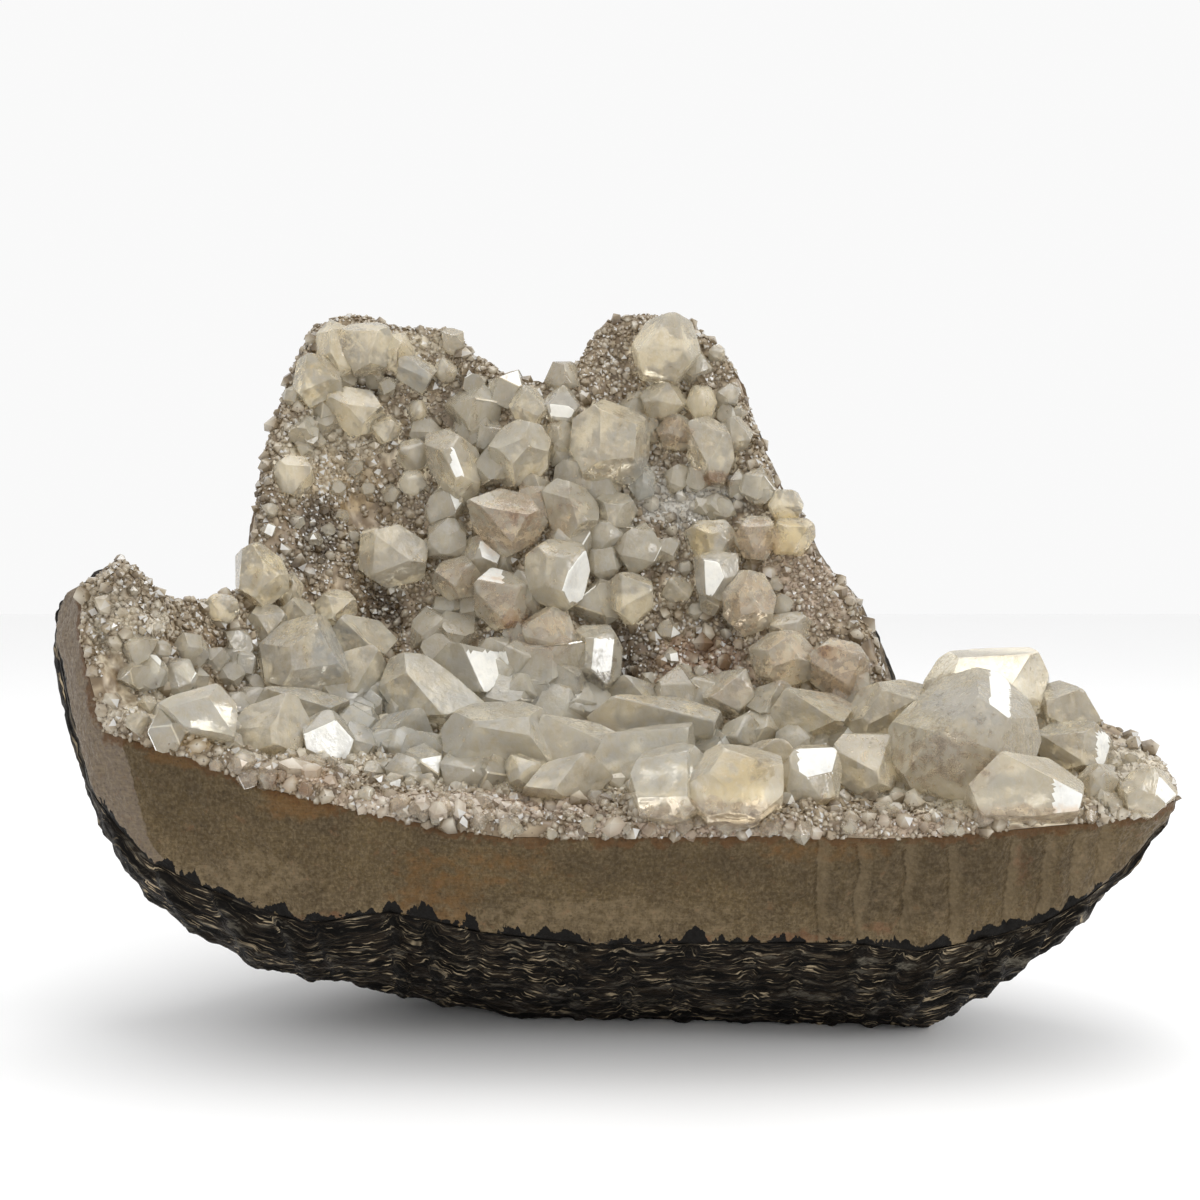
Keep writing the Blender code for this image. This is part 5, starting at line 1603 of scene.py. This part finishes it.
@dataclass
class Apophyllite:
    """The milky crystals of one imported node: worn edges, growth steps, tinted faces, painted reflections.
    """

    node: str
    bevel: float = 0.0005
    growth: float = 0.0010
    growth_on_shelf: float = 0.0016
    grain_size: float = 0.0021
    edge_width: float = 0.0007
    step_height: float = 0.00012
    step_size: float = 0.006
    grain_height: float = 0.00006
    foot_height: float = 0.004

    def worn(self) -> Skin:
        """The node's flat faces with narrow bevels, and each face's number."""
        source = Skin.of_node(self.node)
        mesh = bpy.data.meshes.new("scratch")
        mesh.from_pydata(source.points.tolist(), [], source.faces.tolist())
        shape = bmesh.new()
        shape.from_mesh(mesh)
        bmesh.ops.dissolve_limit(
            shape, angle_limit=math.radians(2), verts=shape.verts, edges=shape.edges, delimit=set()
        )
        shape.normal_update()
        low = VIEW.pixels(source.points)[:, 1].mean() > SHELF_TOP
        growth = self.growth_on_shelf if low else self.growth
        moves = [vertex.normal * min(vertex.calc_shell_factor(), 1.7) * growth for vertex in shape.verts]
        for vertex, move in zip(shape.verts, moves):
            vertex.co += move
        number = shape.faces.layers.int.new("number")
        for index, face in enumerate(shape.faces):
            face[number] = index + 1
        joined = [edge for edge in shape.edges if edge.is_manifold]
        sharp = [edge for edge in joined if edge.calc_face_angle(0) > math.radians(SHARP_ANGLE)]
        bmesh.ops.bevel(
            shape, geom=sharp, offset=self.bevel, segments=1, affect="EDGES", clamp_overlap=True
        )
        bmesh.ops.triangulate(shape, faces=shape.faces)
        shape.to_mesh(mesh)
        numbers = np.array([face[number] for face in shape.faces])
        shape.free()
        points = np.array([vertex.co for vertex in mesh.vertices])
        faces = np.array([tuple(face.vertices) for face in mesh.polygons])
        bpy.data.meshes.remove(mesh)
        skin = Skin(points, faces)
        skin.on_faces["number"] = numbers
        return skin

    def build(
        self, near: Neighbours, box: Box, finish: bpy.types.Material, bright: bpy.types.Material
    ) -> bpy.types.Object:
        """Shapes and dresses the crystals.

        Args:
            near: The solids, for how far a face is from the crust.
            box: The part's box.
            finish: Their material.
            bright: The material of their faces that are painted bright as reflections.

        Returns:
            The piece.
        """
        skin = self.worn().refined(self.grain_size)
        skin.smooth(1, np.zeros(len(skin.points), bool), 0.45)
        seed = sum(map(ord, self.node))
        grain = Grain(seed % 97)
        normals = skin.normals()
        numbers = skin.on_faces.pop("number")
        # Each flat face gets a random tone, which partly stands in for painted light on it.
        luck = np.random.default_rng(seed).random(numbers.max() + 1)
        skin.on_faces["facet"] = luck[numbers]
        # Painted reflection: the listed bright faces get the pale, nearly opaque finish.
        skin.on_faces["flash"] = self.painted_reflection_faces(skin, numbers)
        to_crust = distances(near.crust, skin.points, 0.02)
        steps = np.round(grain.layered(skin.points, self.step_size, 2) * 2.2) / 2.2
        rise = self.step_height * steps + self.grain_height * grain.layered(skin.points, 0.002, 2)
        skin.on_points["edge"] = self.edge_share(skin)
        skin.points = box.hold(skin.points + normals * (rise * (1 - skin.on_points["edge"]))[:, None])
        skin.on_points |= patch_values(CRYSTAL_PATCHES, skin.points, grain)
        skin.on_points["foot"] = np.clip(1 - to_crust / self.foot_height, 0, 1)
        piece = skin.thing(self.node.replace(CRYSTAL_PREFIX, "crystals_"), finish, 55, bright)
        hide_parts(self.node)
        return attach(piece, BODY)

    def painted_reflection_faces(self, skin: Skin, numbers: np.ndarray) -> np.ndarray:
        """Which triangles lie on a flat face that is painted bright as a reflection in the view.

        Args:
            skin: The crystals.
            numbers: Which flat face each triangle belongs to.

        Returns:
            1 or 0 for each triangle.
        """
        middles = skin.points[skin.faces].mean(axis=1)
        across = skin.face_normals()
        across /= np.maximum(np.linalg.norm(across, axis=1, keepdims=True), 1e-15)
        toward = ((np.array(VIEW.place) - middles) * across).sum(axis=1) > TOWARD_CAMERA
        seen = VIEW.pixels(middles)
        lit = np.zeros(len(numbers))
        for x, y, half_width, half_height in PAINTED_REFLECTIONS:
            away = np.maximum(np.abs(seen[:, 0] - x) / half_width, np.abs(seen[:, 1] - y) / half_height)
            near = (away < 1) & toward
            if near.sum() < 4:
                continue
            values, counts = np.unique(numbers[near], return_counts=True)
            lit[(numbers == values[counts.argmax()]) & (away < 1.25)] = 1
        return lit

    def edge_share(self, skin: Skin) -> np.ndarray:
        """How near each point is to an edge between flat faces, from 0 to 1."""
        source = Skin.of_node(self.node)
        ends, of_face = source.edges()
        across = source.face_normals()
        across /= np.linalg.norm(across, axis=1, keepdims=True)
        pair = np.full((len(ends), 2), -1)
        for side in range(3):
            for face, edge in enumerate(of_face[:, side]):
                pair[edge, 0 if pair[edge, 0] < 0 else 1] = face
        turn = (across[pair[:, 0]] * across[pair[:, 1]]).sum(axis=1)
        sharp = turn < math.cos(math.radians(SHARP_ANGLE))
        samples = []
        for first, last in source.points[ends[sharp]]:
            count = max(2, int(np.linalg.norm(last - first) / 0.0005))
            samples.append(first + (last - first) * np.linspace(0, 1, count)[:, None])
        lines = np.concatenate(samples)
        tree = KDTree(len(lines))
        for index, place in enumerate(lines.tolist()):
            tree.insert(place, index)
        tree.balance()
        away = np.array([tree.find(place)[2] for place in skin.points.tolist()])
        return np.clip(1 - away / self.edge_width, 0, 1)


@dataclass(frozen=True)
class Fill:
    """A part of the view that is filled with small crystals: its box in pixels, their number and size."""

    left: float
    top: float
    right: float
    bottom: float
    count: int
    size: tuple[float, float]
    seed: int


@dataclass
class SmallCrystals:
    """The smaller milky crystals, which fill the room between the large ones.

    Each named one is given by how far right and down it is in the view, and its size there. sink,
    room and bevel are shares of a crystal's half width.
    """

    crust: Skin
    named: tuple[tuple[float, float, float], ...] = (
        (303, 448, 14), (417, 411, 20), (355, 468, 16), (393, 495, 18), (353, 538, 12), (328, 530, 12),
        (270, 511, 14), (445, 607, 16), (368, 490, 13), (337, 490, 14), (314, 541, 14), (295, 523, 14),
        (268, 531, 12), (341, 517, 12), (448, 543, 14), (308, 422, 12), (317, 441, 14), (640, 556, 13),
        (608, 562, 13), (641, 533, 16), (590, 567, 14), (717, 356, 16), (776, 585, 14), (782, 607, 16),
        (695, 612, 15), (670, 658, 15), (664, 692, 17), (685, 672, 13), (700, 673, 13), (650, 680, 15),
        (360, 700, 18), (765, 733, 18), (259, 643, 9), (1084, 764, 16), (1100, 778, 16), (1112, 766, 14),
        (1092, 792, 16), (1120, 790, 16), (1132, 760, 14), (1150, 775, 14), (1106, 800, 14),
    )
    fills: tuple[Fill, ...] = (
        Fill(240, 690, 420, 752, 40, (24, 44), 41), Fill(400, 650, 640, 782, 60, (24, 50), 42),
        Fill(600, 695, 860, 788, 60, (24, 48), 43), Fill(840, 690, 1100, 785, 40, (22, 42), 44),
        Fill(430, 380, 640, 640, 90, (20, 44), 45), Fill(640, 360, 830, 640, 40, (14, 30), 46),
        Fill(290, 320, 470, 440, 26, (14, 26), 47), Fill(130, 640, 270, 745, 46, (16, 34), 48),
        Fill(180, 735, 420, 795, 50, (8, 20), 49), Fill(400, 775, 640, 835, 50, (8, 19), 50),
        Fill(640, 785, 900, 832, 50, (8, 19), 51), Fill(880, 785, 1150, 835, 50, (8, 18), 52),
    )
    sink: float = 0.05
    room: float = 1.25
    bevel: float = 0.05
    # Painted reflections: of the faces this near the mirror way of the side light, a share get the bright
    # finish.
    mirror_at: float = 0.94
    bright_share: float = 0.12

    def block(
        self, middle: Vector, axis: Vector, radius: float, chance: np.random.Generator
    ) -> bmesh.types.BMesh:
        """A short squarish crystal with cut corners, as a closed shape.

        Args:
            middle: Its middle.
            axis: The way its top looks.
            radius: Half its width.
            chance: Where its unevenness comes from.

        Returns:
            The shape, which the caller frees.
        """
        shape = bmesh.new()
        bmesh.ops.create_cube(shape, size=radius * 3)
        turn = axis.to_track_quat("Z", "X").to_matrix()
        turn @= Matrix.Rotation(chance.uniform(0, math.tau), 3, "Z")
        for x, y, z, reach in BLOCK_FACES:
            way = Vector((x, y, z)).normalized() + Vector(chance.normal(scale=0.06, size=3).tolist())
            far = way.normalized() * radius * reach * chance.uniform(0.86, 1.1)
            every = shape.verts[:] + shape.edges[:] + shape.faces[:]
            made = bmesh.ops.bisect_plane(shape, geom=every, plane_co=far, plane_no=way, clear_outer=True)
            rim = [item for item in made["geom_cut"] if isinstance(item, bmesh.types.BMEdge)]
            if rim:
                bmesh.ops.contextual_create(shape, geom=rim)
        for vertex in shape.verts:
            vertex.co = turn @ vertex.co + middle
        return shape

    def places(self) -> list[tuple[float, float, float]]:
        """Where the crystals are in the view, with their sizes in pixels."""
        found = list(self.named)
        for fill in self.fills:
            chance = np.random.default_rng(fill.seed)
            for _ in range(fill.count):
                x = chance.uniform(fill.left, fill.right)
                y = chance.uniform(fill.top, fill.bottom)
                found.append((x, y, chance.uniform(*fill.size)))
        return found

    def build(
        self, near: Neighbours, box: Box, finish: bpy.types.Material, bright: bpy.types.Material
    ) -> None:
        """Shapes and dresses the crystals.

        Args:
            near: The solids, for the big crystals that these stay out of.
            box: The part's box.
            finish: Their material.
            bright: The material of their faces that are painted bright as reflections.
        """
        tree = self.crust.tree()
        chance = np.random.default_rng(77)
        camera = Vector(VIEW.place)
        groups: list[CrystalGroup] = []
        for x, y, size in self.places():
            sight = VIEW.sight(x, y)
            place, normal, _, away = tree.ray_cast(camera, sight)
            if place is None:
                continue
            radius = size / 2 / VIEW.focal * away
            big = near.crystals.ray_cast(camera, sight)
            if big[0] is not None and big[3] < away - 0.3 * radius:
                continue
            axis = (normal - 0.35 * sight + Vector(chance.normal(scale=0.3, size=3).tolist())).normalized()
            middle = place + normal * radius * self.sink
            shape = self.block(middle, axis, radius, chance)
            bmesh.ops.bevel(
                shape,
                geom=shape.edges[:],
                offset=radius * self.bevel,
                segments=1,
                affect="EDGES",
                clamp_overlap=True,
            )
            shape.faces.index_update()
            shape.verts.index_update()
            # Each face gets a random tone, which partly stands in for painted light on it.
            shade = chance.random(len(shape.faces))
            spots = np.array([vertex.co for vertex in shape.verts])
            triangles = shape.calc_loop_triangles()
            corners = np.array([[loop.vert.index for loop in loops] for loops in triangles])
            shades = shade[[loops[0].face.index for loops in triangles]]
            shape.free()
            if not box.inside(spots).all():
                continue
            group = next((group for group in groups if group.clear_of(middle, radius * self.room)), None)
            if group is None:
                group = CrystalGroup()
                groups.append(group)
            group.add(middle, radius * self.room, spots, corners, shades)
        grain = Grain(9)
        for number, group in enumerate(groups, 1):
            skin = group.skin()
            skin.on_points |= patch_values(CRYSTAL_PATCHES, skin.points, grain)
            skin.on_points["foot"] = np.clip(1 - distances(near.crust, skin.points, 0.02) / 0.003, 0, 1)
            # Painted reflections on faces that mirror the side light.
            across = skin.face_normals()
            facing = (across @ FLASH_FACE) / np.linalg.norm(across, axis=1)
            picked = skin.on_faces["facet"] > 1 - self.bright_share
            skin.on_faces["flash"] = ((facing > self.mirror_at) & picked).astype(float)
            piece = skin.thing(f"small_crystals_{number}", finish, 30, bright)
            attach(piece, BODY)
        count = sum(len(group.middles) for group in groups)
        log.info("small crystals: %d in %d pieces", count, len(groups))


# The faces of a short squarish crystal: the way each looks and how far out it is, in half widths.
BLOCK_FACES = (
    (1, 0, 0, 1.0), (-1, 0, 0, 1.0), (0, 1, 0, 1.0), (0, -1, 0, 1.0), (0, 0, 1, 1.0), (0, 0, -1, 1.0),
    (1, 1, 1, 1.2), (-1, 1, 1, 1.2), (1, -1, 1, 1.2), (-1, -1, 1, 1.2),
    (1, 1, -1, 1.3), (-1, 1, -1, 1.3), (1, -1, -1, 1.3), (-1, -1, -1, 1.3),
)


class CrystalGroup:
    """Small crystals that don't touch each other, so that light passes through each rightly."""

    def __init__(self) -> None:
        """Starts empty."""
        self.middles: list[tuple[Vector, float]] = []
        self.points: list[np.ndarray] = []
        self.faces: list[np.ndarray] = []
        self.shades: list[np.ndarray] = []
        self.count = 0

    def clear_of(self, middle: Vector, reach: float) -> bool:
        """Whether a crystal here would touch none of the group."""
        return all((middle - other).length > reach + far for other, far in self.middles)

    def add(
        self, middle: Vector, reach: float, points: np.ndarray, faces: np.ndarray, shades: np.ndarray
    ) -> None:
        """Takes one crystal.

        Args:
            middle: Its middle.
            reach: How far it reaches from there.
            points: Its corners.
            faces: Three corner numbers for each triangle.
            shades: Each triangle's shade, from 0 to 1.
        """
        self.middles.append((middle, reach))
        self.points.append(points)
        self.faces.append(faces + self.count)
        self.shades.append(shades)
        self.count += len(points)

    def skin(self) -> Skin:
        """All of the group as one mesh."""
        skin = Skin(np.concatenate(self.points), np.concatenate(self.faces))
        skin.on_faces["facet"] = np.concatenate(self.shades)
        return skin


@dataclass
class Studio:
    """The pale floor, the soft lights and the pale surroundings."""

    floor_side: float = 6.0
    surroundings: float = 0.95
    softboxes: tuple[tuple[str, tuple[float, float, float], float, float], ...] = (
        ("side_softbox", (0.95, -0.62, 0.62), 0.36, 3.0),
        ("top_softbox", (0.05, -0.05, 1.30), 0.90, 6.0),
    )

    def build(self) -> None:
        """Makes the floor, the lights and the world."""
        half = self.floor_side / 2
        mesh = bpy.data.meshes.new("floor")
        rim = [(-half, -half, 0), (half, -half, 0), (half, half, 0), (-half, half, 0)]
        mesh.from_pydata(rim, [], [(0, 1, 2, 3)])
        mesh.materials.append(FloorFinish().material())
        floor = bpy.data.objects.new("floor", mesh)
        bpy.context.scene.collection.objects.link(floor)
        floor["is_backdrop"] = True
        middle = Vector((0, 0, 0.1))
        for name, place, side, power in self.softboxes:
            lamp = bpy.data.lights.new(name, "AREA")
            lamp.size = side
            lamp.energy = power
            thing = bpy.data.objects.new(name, lamp)
            thing.location = place
            thing.rotation_euler = (middle - Vector(place)).to_track_quat("-Z", "Y").to_euler()
            bpy.context.scene.collection.objects.link(thing)
        world = bpy.data.worlds.new("studio")
        world.use_nodes = True
        background = world.node_tree.nodes["Background"]
        background.inputs["Color"].default_value = (1, 1, 1, 1)
        background.inputs["Strength"].default_value = self.surroundings
        bpy.context.scene.world = world
        bpy.context.scene.view_settings.view_transform = "Standard"


def corners(bounds: Iterable[Vector]) -> list[list[float]]:
    """A box as plain lists of numbers."""
    return [[round(value, 6) for value in corner] for corner in bounds]


def main() -> None:
    """Builds the specimen and its studio in order."""
    logging.basicConfig(level=logging.INFO, format="%(message)s")
    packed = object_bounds()
    box = Box(np.array(packed[0]), np.array(packed[1]))
    VIEW.camera()
    effects = Effects()
    near = Neighbours()
    log.info("made %s", BandedRind().build(near, box, effects).name)
    log.info("made %s", QuartzWall().build(near, box, effects).name)
    crust = DruseCrust()
    log.info("made %s", crust.build(near, box, effects).name)
    points_finish = DruseFinish("druse_points").material(effects)
    for zone in ZONES:
        log.info("made %s", DrusePoints(zone).build(crust.skin, near, box, points_finish).name)
    crystal_finish = ApophylliteFinish().material(effects)
    # A pale, nearly opaque finish that paints reflections on the bright faces.
    painted_reflection = ApophylliteFinish(
        "painted_reflection_face", clearer=srgb(214, 213, 208), milk=srgb(250, 250, 246), clear=0.12
    )
    painted_reflection_finish = painted_reflection.material(effects)
    SmallCrystals(crust.skin).build(near, box, crystal_finish, painted_reflection_finish)
    for node in near.crystal_nodes:
        log.info("made %s", Apophyllite(node).build(near, box, crystal_finish, painted_reflection_finish).name)
    Studio().build()


if __name__ == "__main__":
    main()
